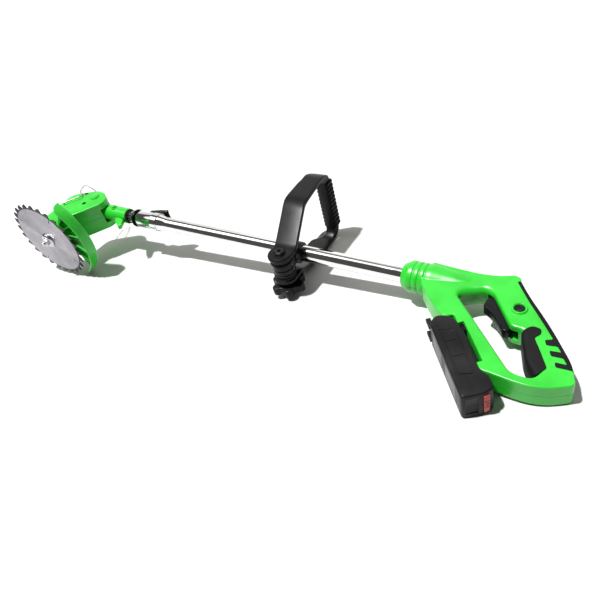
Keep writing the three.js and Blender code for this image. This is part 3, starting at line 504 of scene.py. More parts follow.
def build_pole_lock():
    px, py = LOCK_PIN
    pin_hole = ("z", LOCK_PIN_HOLE, -30, 30, LOCK_PIN, 24)
    band = [(15.9, -496), (16.3, -496), (16.6, -495.7), (16.6, -482.3), (16.3, -482), (15.9, -482)]
    show(lathe("x", band, steps=64), "lock_bracket", CHROME)
    for name, low, high in (("upper", 8.4, 11), ("lower", -11, -8.4)):
        side = rounded([(-496, 13), (-482, 13), (px + 5, py + 2, 3), (px, py + 4.6, 4), (px - 5, py + 2, 3)])
        ear = prism(side, low, high, 0.4, 2)
        cut(ear, rod("x", 16.6, -520, -460, steps=64), rod(*pin_hole))
        show(ear, "lock_bracket", BLACK, f"lock_bracket_ear_{name}")
    side = rounded([(-519, 14, 1), (-519, 18.5, 2), (-495, 26.6, 4), (px - 1, 27, 4), (px + 4, py + 1, 3),
                    (px + 3, py - 3, 3), (px - 4, py - 3.2, 2), (-493, 14, 1)])
    lever = cut(prism(side, -8, 8, 0.7, 3), rod("x", 17.2, -540, -440, steps=96))
    show(cut(lever, rod(*pin_hole)), "lock_lever", BLACK)
    show(rod("z", 1.7, -11, 11, (px, py), 32, 0.4), "lock_pin", STEEL)


# ---- neck --------------------------------------------------------------------------------------------
NECK_R = 14.5
BUTTON_X = -598
LEVER_PIN = (-583, -13.6)
TILT_PIN_HOLE = 3.3


def build_neck():
    nose = [a / 16 * math.pi / 2 for a in range(17)]
    body = [(NECK_R * math.sin(a), PIVOT_X - NECK_R * math.cos(a)) for a in nose]
    body += [(NECK_R, -563.8), (NECK_R - 0.8, -563), (11.1, -563), (11.1, -590.3), (0, -590.3)]
    knuckle = lathe("x", body, steps=72)
    join(knuckle, lathe("z", [(0, 12), (6.4, 12), (6.2, 15), (5.8, 15.5), (0, 15.5)], (BUTTON_X, 0), 40))
    lx, ly = LEVER_PIN
    holes = [rod("z", TILT_PIN_HOLE, -30, 30, (PIVOT_X, 0), 32), rod("z", 4.3, 5, 30, (BUTTON_X, 0), 32),
             block((lx - 5.5, -30, -4.4), (-558, -11.3, 4.4)), rod("x", 3.5, -660, -580, (-6, 0), 24)]
    show(cut(knuckle, *holes), "neck_knuckle", GREEN)
    button = [(0, 12), (3.3, 12), (3.3, 9.4), (4, 9.4), (4, 17.2), (3.7, 18), (2.9, 18.6), (0, 18.8)]
    show(lathe("z", button, (BUTTON_X, 0), 40), "tilt_button", GREEN)
    press_spring("tilt_button_spring", (BUTTON_X, 0), 2.6, 0.7, 5.2, 11.9)
    fin = rounded([(lx - 3, ly + 1.4, 1), (lx + 6, ly + 1.2, 1), (lx + 18, ly - 2, 1), (lx + 27, ly - 19, 2),
                   (lx + 23, ly - 23, 2), (lx + 5, ly - 11, 3), (lx - 3, ly - 3, 1)])
    show(prism(fin, -4, 4, 0.9, 3), "neck_lever", GREEN)


# ---- head --------------------------------------------------------------------------------------------
BLADE_X, BLADE_Y, BLADE_R = -685, -107, 82.5
HEAD_HALF = 28
MOTOR_R, SCREW_HOLE = 21.6, 2.3
SCREW_SPOTS = ((-656, -19), (-677, 9))
GUARD_SPOTS = ((BLADE_X - 19, 22), (BLADE_X + 19, -22))
SPACER_PIVOT = (-697, -34)
TILT_RANGE = 75


def neck_room():
    r, reach = NECK_R + 0.8, 70
    pivot = (PIVOT_X, 0)
    corners = [on_circle(reach, -14, pivot), (PIVOT_X, -r)]
    corners += [on_circle(r, a, pivot) for a in range(-105, -270 + TILT_RANGE, -5)]
    corners.append(on_circle(r, 90 + TILT_RANGE, pivot))
    corners.append((PIVOT_X + reach * math.cos(math.radians(TILT_RANGE + 12)), reach))
    corners.append((PIVOT_X + reach, reach))
    return prism(corners, -r, r)


def build_head():
    profile = rounded([(-709, -78, 3), (-709, -2, 14), (-658, 24, 14), (-638, 22, 12), (-617, 6, 8),
                       (-617, -11, 8), (-650, -54, 14), (-661, -64, 4), (-661, -78, 3)], 8)
    body = prism(profile, -HEAD_HALF, HEAD_HALF, 2.6, 4)
    cuts = [rod("y", MOTOR_R, -76, 3, (BLADE_X, 0), 64), rod("y", 9, -90, -74, (BLADE_X, 0)), neck_room(),
            rod("z", TILT_PIN_HOLE, 2.3 - HEAD_HALF, HEAD_HALF - 2.3, (PIVOT_X, 0), 32),
            rod("x", 5, BLADE_X, PIVOT_X, (-6, 0), 24)]
    for spot in SCREW_SPOTS:
        cuts += [rod("z", SCREW_HOLE, -20, 60, spot, 24), rod("z", 4.3, 24, 60, spot, 32)]
    for spot in GUARD_SPOTS:
        cuts.append(rod("y", SCREW_HOLE, -90, -68, spot, 24))
    cuts += [rod("z", 1.9, low, low + 35, SPACER_PIVOT, 24) for low in (-60, 25)]
    cut(body, *cuts)
    for side in (1, -1):
        low, high = sorted((side * (HEAD_HALF - 1), side * (HEAD_HALF + 1.6)))
        disc = prism([on_circle(9.5, a, (-650, 5)) for a in range(0, 360, 6)], low, high, 0.5, 2)
        join(body, disc)
    for x in (-704, -699, -694):
        for side in (1, -1):
            z0, z1 = sorted((side * 10, side * 22))
            cut(body, block((-712, -66 + (x + 704) * 2.4, z0), (-707.6, -62.6 + (x + 704) * 2.4, z1), 0.3))
    show(half_of(body, 1), "head_shell_left", GREEN)
    show(half_of(body, -1), "head_shell_right", GREEN)
    bpy.data.objects.remove(body)
    for i, spot in enumerate(SCREW_SPOTS, 1):
        show(screw(spot, 1, 27.5, 44), f"head_screw_{i}", DARK_STEEL)
    show(rod("z", 3, 2.6 - HEAD_HALF, HEAD_HALF - 2.6, (PIVOT_X, 0), 40, 0.6), "tilt_pin", STEEL)


def screw(spot, side, top, length, head=4.0):
    profile = [(0, top - length), (2, top - length), (2, top - 3), (head, top - 3), (head, top - 0.7),
               (head - 0.8, top), (0, top)]
    made = lathe("z", [(r, s * side) for r, s in profile], spot, 32)
    x, y = spot
    for a, b in ((1.9, 0.45), (0.45, 1.9)):
        low, high = sorted((side * (top - 1.3), side * (top + 1)))
        cut(made, block((x - a, y - b, low), (x + a, y + b, high)))
    return made


def build_guard():
    front, back, outer, wall = -100, -78.3, 95, 3
    first, last, count = -62, 55, 96
    sections = []
    for k in range(count + 1):
        degrees = first + (last - first) * k / count
        to_end = min(degrees - first, last - degrees)
        lift = 1 - math.sqrt(max(0.0, 1 - (1 - min(to_end / 9, 1)) ** 2))
        rim = front + (back - 6 - front) * 0.78 * lift
        inner = outer - wall
        profile = rounded([(6, back, 0), (outer, back, 6), (outer, rim, 1.2), (inner - 0.6, rim, 0.8),
                           (inner, rim + 2.2, 1), (inner, back - wall, 3.5), (6, back - wall, 0)], 4)
        ring = []
        for r, y in profile:
            x, z = on_circle(r, degrees)
            ring.append((BLADE_X + x, y, z))
        sections.append(ring)
    guard = loft(sections)
    hub = [(25, -90), (32, -90), (33, -89), (33, back), (9.5, back), (9.5, back - wall), (25, back - wall)]
    join(guard, lathe("y", hub, (BLADE_X, 0), 96))
    for a in (-50, -30, 0, 25, 45):
        rib = block((32, back - 7, -0.9), (outer - 2, back - 1.5, 0.9), 0.3)
        turned = Matrix.Translation((BLADE_X, 0, 0)) @ Matrix.Rotation(math.radians(-a), 4, "Y")
        join(guard, moved(rib, turned))
    cut(guard, rod("y", 9.5, -120, -60, (BLADE_X, 0), 48))
    for i, spot in enumerate(GUARD_SPOTS, 1):
        cut(guard, rod("y", SCREW_HOLE, -120, -60, spot, 24))
        profile = [(0, -69), (2, -69), (2, -90.3), (3.6, -90.3), (3.6, -92.1), (3, -92.7), (0, -92.7)]
        show(lathe("y", profile, spot, 32), f"guard_screw_{i}", STEEL)
    show(guard, "blade_guard", GREEN)


TEETH = 26
# One tooth: how far each corner lies inside the blade's edge, its share of the pitch, and its rounding.
TOOTH = ((0, 0, 0.2), (0.9, 0.16, 1), (2.6, 0.38, 2), (7.5, 0.55, 2), (9.5, 0.72, 2), (8.3, 0.88, 2))
AXLE_HOLE = 4.3


def build_blade():
    pitch = 360 / TEETH
    low, high = BLADE_Y - 0.9, BLADE_Y + 0.9
    corners = []
    for i in range(TEETH):
        a = i * pitch
        for drop, share, reach in TOOTH:
            corners.append((*on_circle(BLADE_R - drop, a + share * pitch), reach))
    blade = prism(rounded(corners, 3), low, high, 0.22, 1, "xz")
    moved(blade, Matrix.Translation((BLADE_X, 0, 0)))
    cut(blade, rod("y", 10, -130, -90, (BLADE_X, 0), 64))
    for i in range(4):
        end = rod("y", 1.6, low - 1, high + 1, (BLADE_R - 20, 0), 20)
        slit = join(block((BLADE_R - 20, low - 1, -0.7), (BLADE_R, high + 1, 0.7)), end)
        turned = Matrix.Translation((BLADE_X, 0, 0)) @ Matrix.Rotation(math.radians(90 * i + 38), 4, "Y")
        cut(blade, moved(slit, turned))
    axle = -AXIS_Y
    across = (Vector((1, 0, 0)) - axle * axle.x).normalized()
    turn = Matrix((across, axle.cross(across), axle)).transposed().to_4x4()
    show(blade, "saw_blade", BLADE_STEEL, origin=Matrix.Translation(at(BLADE_X, BLADE_Y, 0)) @ turn)
    inner = [(AXLE_HOLE, low), (9.3, low), (9.3, high + 0.3), (16.5, high + 0.3), (17, high + 0.8),
             (17, high + 3.6), (16.4, high + 4.3), (8.5, high + 4.3), (8.5, -85), (AXLE_HOLE, -85)]
    show(lathe("y", inner, (BLADE_X, 0), 64), "inner_flange", STEEL)
    under = low - 0.3
    outer = [(AXLE_HOLE, under - 4), (11.5, under - 4), (12.4, under - 3.6), (14.6, under - 2.2),
             (15, under - 1.6), (15, under), (AXLE_HOLE, under)]
    show(lathe("y", outer, (BLADE_X, 0), 64), "outer_flange", STEEL)
    nut = [on_circle(8.6, 60 * k + 30) for k in range(6)]
    nut = moved(prism(nut, under - 10, under - 4.3, 0.5, 2, "xz"), Matrix.Translation((BLADE_X, 0, 0)))
    round_ends = [(0, under - 10), (7.2, under - 10), (8.7, under - 9), (8.7, under - 5), (8.0, under - 4.3),
                  (0, under - 4.3)]
    crown = lathe("y", round_ends, (BLADE_X, 0), 64)
    show(cut(meet(nut, crown), rod("y", AXLE_HOLE, -130, -100, (BLADE_X, 0), 32)), "blade_nut", STEEL)
    tip = BLADE_Y - 15
    rotor = [(0, tip), (3.4, tip), (4, tip + 0.7), (4, -69.7), (16, -67.7), (16, -30), (8, -29), (8, -20),
             (4, -19), (4, 0), (0, 0)]
    show(lathe("y", rotor, (BLADE_X, 0), 64), "motor_rotor", STEEL)


def build_wire_spacer():
    x, y = SPACER_PIVOT
    z = HEAD_HALF + 4.2
    bow = [(x, y, z - 6), (x, y, z - 3), (x + 1, y + 3, z), (x + 19, y + 26, z), (x + 17, y + 33, z),
           (x + 4, y + 45, z), (x - 4, y + 62, z - 2), (x - 9, y + 72, z - 12)]
    crown = [(x - 7, y + 81, 0)]
    far = [(u, v, -w) for u, v, w in reversed(bow)]
    show(sweep(bow + crown + far, 1.35, 12, 8), "wire_spacer", STEEL, sharp=50)


# ---- D-handle ----------------------------------------------------------------------------------------
CLAMP_X, BOLT_Y = -187, -35
CLAMP_HALF = 14
BOLT = (CLAMP_X, BOLT_Y)
BOLT_HOLE = 4.3
ARM = (19, 25.5)
BEND = (-18, 52)
GRIP_Y = (119, 136)
DHANDLE_HALF, DHANDLE_W = 65, 40
LEAN, GRIP_SHIFT = -15, 8
TOP_TAPER, GRIP_TAPER = 0.1, 0.468


def eased(value):
    value = min(max(value, 0), 1)
    return value * value * (3 - 2 * value)


def lean_and_taper(x, y, z):
    risen = min(max((y - BEND[0]) / (BEND[1] - BEND[0]), 0), 1)
    narrowed = eased((66 - abs(z)) / 10) * eased((y - 90) / 20)
    upper = eased((y - BEND[1]) / 60)
    middle = CLAMP_X + LEAN * risen + GRIP_SHIFT * narrowed
    return (middle + x * (1 - TOP_TAPER * upper - GRIP_TAPER * narrowed), y, z)


def strap_section(outer, inner, soft=1.8):
    """The rounded rectangle across the strap between a point of its outer line and one of its inner line."""
    thick = math.dist(outer, inner)
    w = DHANDLE_W / 2
    section = rounded([(-w, 0, soft * 1.6), (w, 0, soft * 1.6), (w, thick, soft), (-w, thick, soft)], 4)
    return [lean_and_taper(x, *(Vector(outer).lerp(Vector(inner), d / thick))) for x, d in section]


def build_d_handle():
    inner, outer = ARM
    bend, shoulder = BEND
    outside = [(BOLT_Y, outer), (bend, outer, 8), (shoulder - 2, 62, 14), (120, DHANDLE_HALF, 10),
               (GRIP_Y[1], 56, 8), (GRIP_Y[1], 0)]
    inside = [(BOLT_Y, inner), (bend + 2, inner, 8), (shoulder, 55, 14), (108, 58.5, 6), (GRIP_Y[0], 52, 5),
              (GRIP_Y[0], 0)]
    pairs = list(zip(rounded(outside, 10, closed=False), rounded(inside, 10, closed=False)))
    stations = []
    for (a0, b0), (a1, b1) in zip(pairs, pairs[1:]):
        parts = max(1, round(math.dist(a0, a1) / 4))
        for k in range(parts):
            stations.append([Vector(p).lerp(Vector(q), k / parts) for p, q in ((a0, a1), (b0, b1))])
    stations.append([Vector(p) for p in pairs[-1]])
    stations += [[Vector((y, -z)) for y, z in pair] for pair in reversed(stations[:-1])]
    strap = loft([strap_section(a, b) for a, b in stations])
    for low, high in ((inner, outer), (-outer, -inner)):
        join(strap, rod("z", DHANDLE_W / 2, low, high, BOLT, 96, 1.6))
    for low, high in ((inner - 1, outer + 1), (-outer - 1, -inner + 1)):
        cut(strap, rod("z", BOLT_HOLE, low, high, BOLT, 32))
    groove = [(9.6, outer - 0.8), (9.6, outer + 1), (10.4, outer + 1), (10.4, outer - 0.8)]
    cut(strap, lathe("z", groove, BOLT, 64))
    show(strap, "d_handle_frame", BLACK, sharp=40)

    middle = CLAMP_X + LEAN + GRIP_SHIFT
    half_width = (1 - TOP_TAPER - GRIP_TAPER) * DHANDLE_W / 2 + 0.3
    bottom, top = GRIP_Y[0] + 1.2, GRIP_Y[1] + 4.5
    sections = []
    steps = 12 * 14
    for k in range(steps + 1):
        z = 46 - 92.8 * k / steps
        phase = (46 - z) / 7.8 % 1
        rise = 1 / (1 + math.exp(-30 * (0.36 - abs(phase - 0.28)))) if k not in (0, steps) else 0
        w = half_width + 1.1 + 1.9 * rise
        t = top - 2.6 + 2.6 * rise
        corners = [(middle - w, bottom, 2.5), (middle + w, bottom, 2.5), (middle + w, t, 5),
                   (middle - w, t, 5)]
        sections.append([(x, y, z) for x, y in rounded(corners, 5)])
    show(loft(sections), "d_handle_grip", RUBBER, sharp=60)


def build_clamp():
    x0, x1 = CLAMP_X - CLAMP_HALF, CLAMP_X + CLAMP_HALF
    sleeve = [(TUBE_ROOM, x0), (16.9, x0), (17.5, x0 + 0.6), (17.5, x1 - 0.6), (16.9, x1), (TUBE_ROOM, x1)]
    clamp = lathe("x", sleeve, steps=72)
    lug = block((CLAMP_X - 12, BOLT_Y, -9), (CLAMP_X + 12, -13.5, 9), 0.8)
    join(clamp, lug, rod("z", 17.5, -9, 9, BOLT, 72, 0.8))
    split = block((CLAMP_X - 30, -80, -1), (CLAMP_X + 30, -5, 1))
    cut(clamp, rod("x", TUBE_ROOM, -260, -100, steps=72), rod("z", BOLT_HOLE, -30, 30, BOLT, 32), split)
    show(clamp, "tube_clamp", BLACK)

    def ratchet(angle, r):
        return r - (0.55 * (0.5 + 0.5 * math.cos(36 * angle)) if r > 17 else 0)

    for name, side in (("ratchet_ring_upper", 1), ("ratchet_ring_lower", -1)):
        ring = [(BOLT_HOLE, 9.3), (17.9, 9.3), (18.6, 9.8), (18.6, 11.5), (17.9, 12), (16, 12.6),
                (15.7, 13.8), (16, 15), (17.3, 15.6), (17.8, 16.1), (17.8, 18.2), (17.3, 18.7),
                (BOLT_HOLE, 18.7)]
        show(lathe("z", [(r, s * side) for r, s in ring], BOLT, 216, ratchet), name, BLACK)
    _, outer = ARM
    head = [(0, -38), (3.5, -38), (4, -37.4), (4, outer + 0.3), (8, outer + 0.3), (8, outer + 2.6),
            (7.6, outer + 3.8), (6.4, outer + 4.7), (0, outer + 4.8)]
    bolt = lathe("z", head, BOLT, 48)
    hexagon = [on_circle(3.4, 60 * k) for k in range(6)]
    socket = moved(prism(hexagon, outer + 2, outer + 10), Matrix.Translation((*BOLT, 0)))
    show(cut(bolt, socket), "handle_bolt", DARK_STEEL)
    lobes = []
    for a in range(0, 360, 60):
        for r, turn in ((29, -11), (29, 11), (19, 30)):
            lobes.append((*on_circle(r, a + turn, BOLT), 6))
    top = -outer - 0.6
    knob = prism(rounded(lobes, 6), top - 21, top - 6.5, 2.4, 4)
    join(knob, rod("z", 14, top - 8, top, BOLT, 64, 0.8))
    dish = [(0, top - 23), (14, top - 23), (14, top - 19.4), (12.5, top - 18), (0, top - 18)]
    cut(knob, rod("z", BOLT_HOLE, -60, 0, BOLT, 32), lathe("z", dish, BOLT, 64))
    show(knob, "star_knob", BLACK)


# ---- battery's own frame -----------------------------------------------------------------------------
# s runs along the rail towards the release button, t stands off the battery's outer face.
BATTERY_AT = (75.5, -88.5)
BATTERY_TURN = math.radians(-52)
PACK = Matrix.Translation((*BATTERY_AT, 0)) @ Matrix.Rotation(BATTERY_TURN, 4, "Z")
LENGTH, DEPTH, SIDE, HUMP = 131, 34, 21, 7
PANEL_SPANS = ((20, 58), (70, 112))
RAIL_T = DEPTH + 0.3


def on_battery(s, t):
    p = PACK @ Vector((s, t, 0))
    return (p.x, p.y)


# ---- rear handle -------------------------------------------------------------------------------------
HANDLE_HALF, NOSE_R, NOSE_X = 17, 23.5, 4
TRIGGER_PIN, LOCKOFF = (145, -9), (176, -33)
LOCKOFF_HOLE = 6.8
HANDLE_SCREWS = ((82, -12), (118, 6), (245, -131))
GRIP_SIDE = [(150, 30), (164.9, 16, 2), (182.4, -8, 20), (217.4, -49, 30), (251.4, -96, 20), (257.9, -109, 4),
             (265, -128, 6), (221, -137), (188, -97), (187, -62, 2)]


def edge_round(x, y):
    """How far the edge of the hand hole is rounded over: widely under the tube and along the grip."""
    under_tube = 7 * eased((y + 42) / 22) * eased((150 - x) / 30)
    along_grip = 4.5 * eased((x - 182) / 12) * eased((y + 128) / 12)
    return 3.5 + under_tube + along_grip


FRONT_SIDE = [(150, 30), (182, -8), (217, -49), (251, -96), (265, -128), (223, -134), (203.2, -108.6, 8),
              (188.2, -70, 3), (187, -50)]


def flared(outline, half):
    """A cutter for a through hole whose edges are rounded over at both faces."""
    middle = sum((Vector(p) for p in outline), Vector((0, 0))) / len(outline)
    count = len(outline)
    outward = []
    for i in range(count):
        along = Vector(outline[(i + 1) % count]) - Vector(outline[i - 1])
        normal = Vector((along.y, -along.x)).normalized()
        outward.append(normal if normal.dot(Vector(outline[i]) - middle) > 0 else -normal)
    quarter = [(1 - math.cos(a), 1 - math.sin(a), 0) for a in (0, 0.3, 0.6, 0.9, 1.2, math.pi / 2)]
    turns = [(0.0, 1.0, 5)] + quarter
    sections = []
    for side in (-1, 1):
        for depth, share, beyond in turns[::-side]:
            section = []
            for p, n in zip(outline, outward):
                flare = edge_round(*p)
                z = side * (half + beyond - flare * depth)
                section.append((p[0] + n.x * flare * share, p[1] + n.y * flare * share, z))
            sections.append(section)
    return loft(sections)


def build_handle():
    outline = rounded([
        (40, 21, 6), (67, 18.5, 16), (110, 16, 20), (135, 19, 10), (155, 26.5, 4), (163.5, 22, 3),
        (164.5, 15, 2), (182, -8, 20), (217, -49, 30), (251, -96, 20), (257.5, -109, 4), (264.5, -128, 6),
        (241, -142, 20), (220, -147, 20), (198, -146, 20), (173, -143, 8), (*on_battery(95, RAIL_T), 3),
        (*on_battery(0, RAIL_T), 2), (*on_battery(-1, 20), 5), (*on_battery(-29, 14), 12),
        (38, -22, 8)], 8)
    hole = rounded([
        (94, -30, 6), (106, -19, 8), (128, -10, 6), (139, -16, 4), (174, -64, 5), (190, -65, 8),
        (197, -80, 10), (208, -100, 14), (225, -122, 6), (220, -133, 10), (206, -135, 10),
        (192, -132, 14)], 8)
    body = prism(outline, -HANDLE_HALF, HANDLE_HALF, 3.2, 4)
    cut(body, flared(hole, HANDLE_HALF))
    nose = [(0, NOSE_X), (17.5, NOSE_X), (NOSE_R, NOSE_X + 11)]
    for i in range(3):
        x = NOSE_X + 17 + 8.5 * i
        nose += [(NOSE_R, x), (NOSE_R - 1.9, x + 1.8), (NOSE_R, x + 3.6)]
    nose += [(NOSE_R, 48), (22.6, 55), (21.5, 64), (19.8, 84), (18.0, 100), (14, 112), (0, 122)]
    join(body, lathe("x", nose, steps=72))
    melt(body, 0.8, 7)
    room = rounded([(127, -40), (150, -68), (176, -74), (184, -66, 3), (184, -50, 4), (170, -30, 8),
                    (158, -13, 5), (152, 0, 4), (136, 0, 4), (128, -14, 4)])
    pocket = prism(room, -8.6, 8.6)
    channel = moved(block((8, 20, -13.5), (99, RAIL_T + 8, 13.5)), PACK)
    grooves = [moved(block((16, RAIL_T - 3, z0), (84, RAIL_T + 8, z1), 0.8), PACK)
               for z0, z1 in ((13.4, 26), (-26, -13.4))]
    cut(body, rod("x", TUBE_ROOM, -20, 60.3, steps=72), pocket, channel, *grooves)
    top = HANDLE_HALF + 2.4
    ring = [(LOCKOFF_HOLE, HANDLE_HALF - 3), (11.2, HANDLE_HALF - 3), (10, top - 0.6), (9.4, top), (8.2, top),
            (7.4, top - 0.7), (LOCKOFF_HOLE, top - 1.6)]
    cut(body, rod("z", LOCKOFF_HOLE, 5, 60, LOCKOFF, 64))
    join(body, lathe("z", ring, LOCKOFF, 64))
    for spot in HANDLE_SCREWS:
        cut(body, rod("z", 3.9, -60, -HANDLE_HALF + 4, spot, 32), rod("z", SCREW_HOLE, -60, 13, spot, 24))
    show(half_of(body, 1), "handle_shell_left", GREEN)
    show(half_of(body, -1), "handle_shell_right", GREEN)
    bpy.data.objects.remove(body)
    for i, spot in enumerate(HANDLE_SCREWS, 1):
        show(screw(spot, -1, HANDLE_HALF - 1, 28, 3.4), f"handle_screw_{i}", DARK_STEEL)


def build_grip_pads():
    back = [(238.2, -110.6, 2), (235.7, -104.1, 2), (249.2, -103.6, 2), (243.2, -95.1, 2),
            (229.7, -96.1, 2), (226.2, -89.1, 2), (239.2, -87.6, 2), (233.2, -79.6, 2), (220.7, -81.6, 2),
            (217.2, -74.6, 2), (226.2, -70.6, 3), (204.2, -42.6, 20), (184.2, -18.6, 10), (160.2, 13.4, 2),
            (170.2, 19.4, 2), (190.2, -6.6, 20), (224.2, -48.6, 30), (258.2, -96.6, 20),
            (264.2, -109.6, 2)]
    front = [(188.2, -68.6, 3), (198.2, -56.6, 6), (209.2, -58.6, 3), (211.2, -66.6, 3), (205.2, -74.6, 3),
             (214.2, -88.6, 8), (230.2, -115.6, 3), (220.2, -129.6, 3), (203.2, -108.6, 8)]
    pads = ((back, GRIP_SIDE, "grip_pad_back", 3.2), (front, FRONT_SIDE, "grip_pad_front", 9))
    for corners, side, node, soft in pads:
        pad = prism(rounded(corners, 6), -HANDLE_HALF - 0.8, HANDLE_HALF + 0.8)
        meet(pad, prism(rounded(side, 8), -HANDLE_HALF - 0.8, HANDLE_HALF + 0.8, soft, 6))
        show(pad, node, RUBBER)


def build_controls():
    side = rounded([(130, -20, 4), (138, -3, 4), (150, -3, 4), (152, -17, 5), (160, -32, 8), (174, -56, 4),
                    (172, -66, 4), (165, -67, 4), (153, -52, 10), (141, -39, 8), (129, -33, 5)], 8)
    trigger = prism(side, -8, 8, 2.2, 4)
    pin_hole = rod("z", SCREW_HOLE, -20, 20, TRIGGER_PIN, 32)
    spring_room = rod("z", 4.6, 4, 20, TRIGGER_PIN, 32)
    show(cut(trigger, pin_hole, spring_room), "trigger", BLACK)
    top = HANDLE_HALF + 1.6
    cap = [(0, 14.5), (4.8, 14.5), (4.8, 11), (6.5, 11), (6.5, top - 1), (6.1, top - 0.3), (5.4, top),
           (4.6, top - 0.3), (0, top - 1.2)]
    show(lathe("z", cap, LOCKOFF, 64), "lockoff_button", BLACK)
    press_spring("lockoff_spring", LOCKOFF, 4, 0.9, 5.5, 14.4)


# ---- battery -----------------------------------------------------------------------------------------
def build_battery():
    outline = rounded([
        (8, 0, 6), (LENGTH, 0, 5), (LENGTH + 1, 28, 6), (LENGTH - 4, DEPTH + HUMP, 8),
        (LENGTH - 24, DEPTH + HUMP, 8), (LENGTH - 34, DEPTH, 6), (12, DEPTH, 8), (0, DEPTH - 10, 8),
        (-3, 10, 6)], 8)
    shell = prism(outline, -SIDE, SIDE, 3, 4)
    join(shell, block((10, DEPTH - 1, -12.8), (97.5, RAIL_T + 4, 12.8), 0.4))
    for z in (9, -15):
        join(shell, block((-6, -1.5, z), (10, 5, z + 6), 0.8))
    hollow = block((4, 3, -18.4), (LENGTH - 4, DEPTH - 3, 18.4))
    release_room = block((LENGTH - 6.8, 25.7, -15.3), (LENGTH + 8, 34.3, 15.3), 0.3)
    cuts = [hollow, release_room]
    for z0, z1 in ((SIDE - 0.9, SIDE + 3), (-SIDE - 3, -SIDE + 0.9)):
        step = prism(rounded([(22, 7, 3), (100, 7, 3), (104, 27, 4), (30, 27, 6)]), z0, z1, 0.3, 1)
        keep = prism(rounded([(25, 9.5, 2), (97, 9.5, 2), (101, 24.5, 3), (33, 24.5, 4)]), z0 - 1, z1 + 1)
        cuts.append(cut(step, keep))
        for s in (45, 70):
            cuts.append(block((s, 10, z0 + 0.3), (s + 1.2, 24, z1)))
    for s0, s1 in PANEL_SPANS:
        cuts.append(block((s0, -2, -13), (s1, 0.8, 13), 0.5))
    cuts.append(block((LENGTH - 0.5, 5, -14), (LENGTH + 4, 20, 14), 0.4))
    cut(shell, *cuts)
    cut(shell, block((8, DEPTH - 4, -8), (30, DEPTH + 20, 8)))
    moved(shell, PACK)
    show(half_of(shell, 1), "battery_case_left", CASE)
    show(half_of(shell, -1), "battery_case_right", CASE)
    bpy.data.objects.remove(shell)
    for i, (s0, s1) in enumerate(PANEL_SPANS, 1):
        panel = block((s0 + 1, -0.2, -12), (s1 - 1, 0.75, 12), 0.2)
        show(moved(panel, PACK), "battery_case_left", PANEL, f"battery_panel_{i}")
    side = rounded([(LENGTH - 3, 26, 1), (LENGTH + 2.4, 26, 1.5), (LENGTH + 1.4, 34, 1.5),
                    (LENGTH - 3, 34, 1)])
    release = prism(side, -15, 15, 0.6, 2)
    for z in (-6, -3, 0, 3, 6):
        cut(release, block((LENGTH + 1, 27.5, z - 0.5), (LENGTH + 4, 33, z + 0.5)))
    show(moved(release, PACK), "battery_release", RED)


# ---- floor, light and camera -------------------------------------------------------------------------
SUN_TO = Vector((0.22, 0.22, -1))
SUN_POWER, SUN_SPREAD = 5.4, 2.5
FLOOR_COLOR = (0.585, 0.585, 0.58, 1)
FLOOR_DROP = 0.0002
ROOM_COLOR = (1, 1, 0.95, 1)
CAMERA_AT = (0.6023, -0.5932, 0.5786)
CAMERA_TARGET = (0.1305, -0.0712, 0.0471)
CAMERA_ROLL = -17.2
# Soft boxes in a dark room: direction, cosine at the edge, cosine where it is full, brightness.
ROOM_LIGHTS = (((-0.69, -0.20, 0.69), 0.965, 0.983, 1.2), ((-0.55, -0.10, 0.82), 0.965, 0.983, 1.2),
               ((-0.41, -0.04, 0.91), 0.965, 0.983, 1.2), ((-0.62, 0.70, 0.27), 0.86, 0.93, 0.8),
               ((0.15, 0.80, 0.58), 0.70, 0.85, 0.75))
ROOM_DARK = 0.075
# What the camera sees past the floor, in place of the dark room.
BACKDROP = 1.0


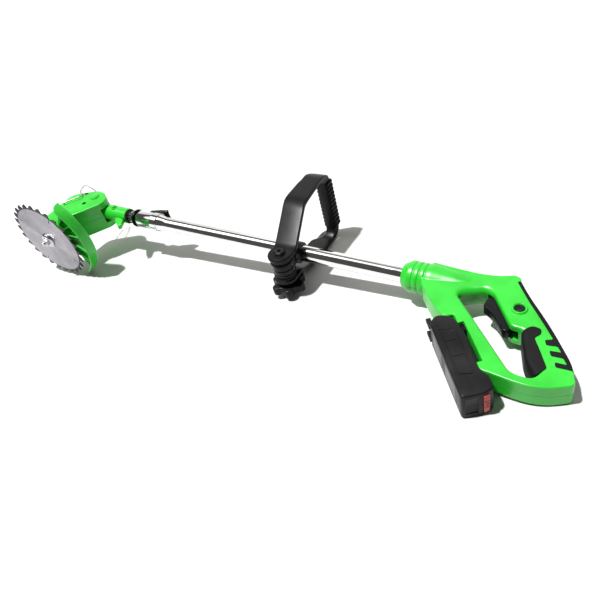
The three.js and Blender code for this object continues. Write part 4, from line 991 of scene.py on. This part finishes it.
def build_studio():
    bm = bmesh.new()
    bmesh.ops.create_grid(bm, x_segments=1, y_segments=1, size=6)
    floor = to_object(bm, "floor")
    material, nodes, links, bsdf = new_material("pale_floor")
    bsdf.inputs["Base Color"].default_value = FLOOR_COLOR
    links.new(ranged(nodes, links, noise(nodes, links, 6, 3), 0.55, 0.65), bsdf.inputs["Roughness"])
    floor.data.materials.append(material)
    floor.location.z = -FLOOR_DROP

    world = bpy.data.worlds.new("studio")
    bpy.context.scene.world = world
    world.use_nodes = True
    nodes, links = world.node_tree.nodes, world.node_tree.links
    direction = nodes.new("ShaderNodeTexCoord").outputs["Generated"]
    total = None
    for towards, from_cos, to_cos, strength in ROOM_LIGHTS:
        dot = nodes.new("ShaderNodeVectorMath")
        dot.operation = "DOT_PRODUCT"
        dot.inputs[1].default_value = Vector(towards).normalized()
        links.new(direction, dot.inputs[0])
        glow = ranged(nodes, links, dot.outputs["Value"], 0, strength, from_cos, to_cos)
        if total is None:
            total = glow
            continue
        add = nodes.new("ShaderNodeMath")
        links.new(total, add.inputs[0])
        links.new(glow, add.inputs[1])
        total = add.outputs[0]
    base = nodes.new("ShaderNodeMath")
    base.inputs[1].default_value = ROOM_DARK
    links.new(total, base.inputs[0])
    plain = nodes.new("ShaderNodeMix")
    plain.inputs[3].default_value = BACKDROP
    links.new(nodes.new("ShaderNodeLightPath").outputs["Is Camera Ray"], plain.inputs[0])
    links.new(base.outputs[0], plain.inputs[2])
    links.new(plain.outputs[0], nodes["Background"].inputs["Strength"])
    nodes["Background"].inputs["Color"].default_value = ROOM_COLOR

    sun = bpy.data.objects.new("sun", bpy.data.lights.new("sun", "SUN"))
    sun.data.energy = SUN_POWER
    sun.data.angle = math.radians(SUN_SPREAD)
    sun.rotation_euler = SUN_TO.to_track_quat("-Z", "Y").to_euler()
    bpy.context.scene.collection.objects.link(sun)

    camera = bpy.data.objects.new("camera", bpy.data.cameras.new("camera"))
    camera.data.lens = 36
    camera.data.sensor_width = 36
    camera.data.clip_start = 0.01
    camera.location = CAMERA_AT
    target = Vector(CAMERA_TARGET)
    facing = (target - camera.location).to_track_quat("-Z", "Y")
    camera.rotation_mode = "QUATERNION"
    camera.rotation_quaternion = facing @ Quaternion((0, 0, 1), math.radians(CAMERA_ROLL))
    bpy.context.scene.collection.objects.link(camera)
    bpy.context.scene.camera = camera
    bpy.context.scene.view_settings.view_transform = "Standard"


build_studio()
build_pole()
build_pole_lock()
build_neck()
build_head()
build_guard()
build_blade()
build_wire_spacer()
build_d_handle()
build_clamp()
build_handle()
build_grip_pads()
build_controls()
build_battery()
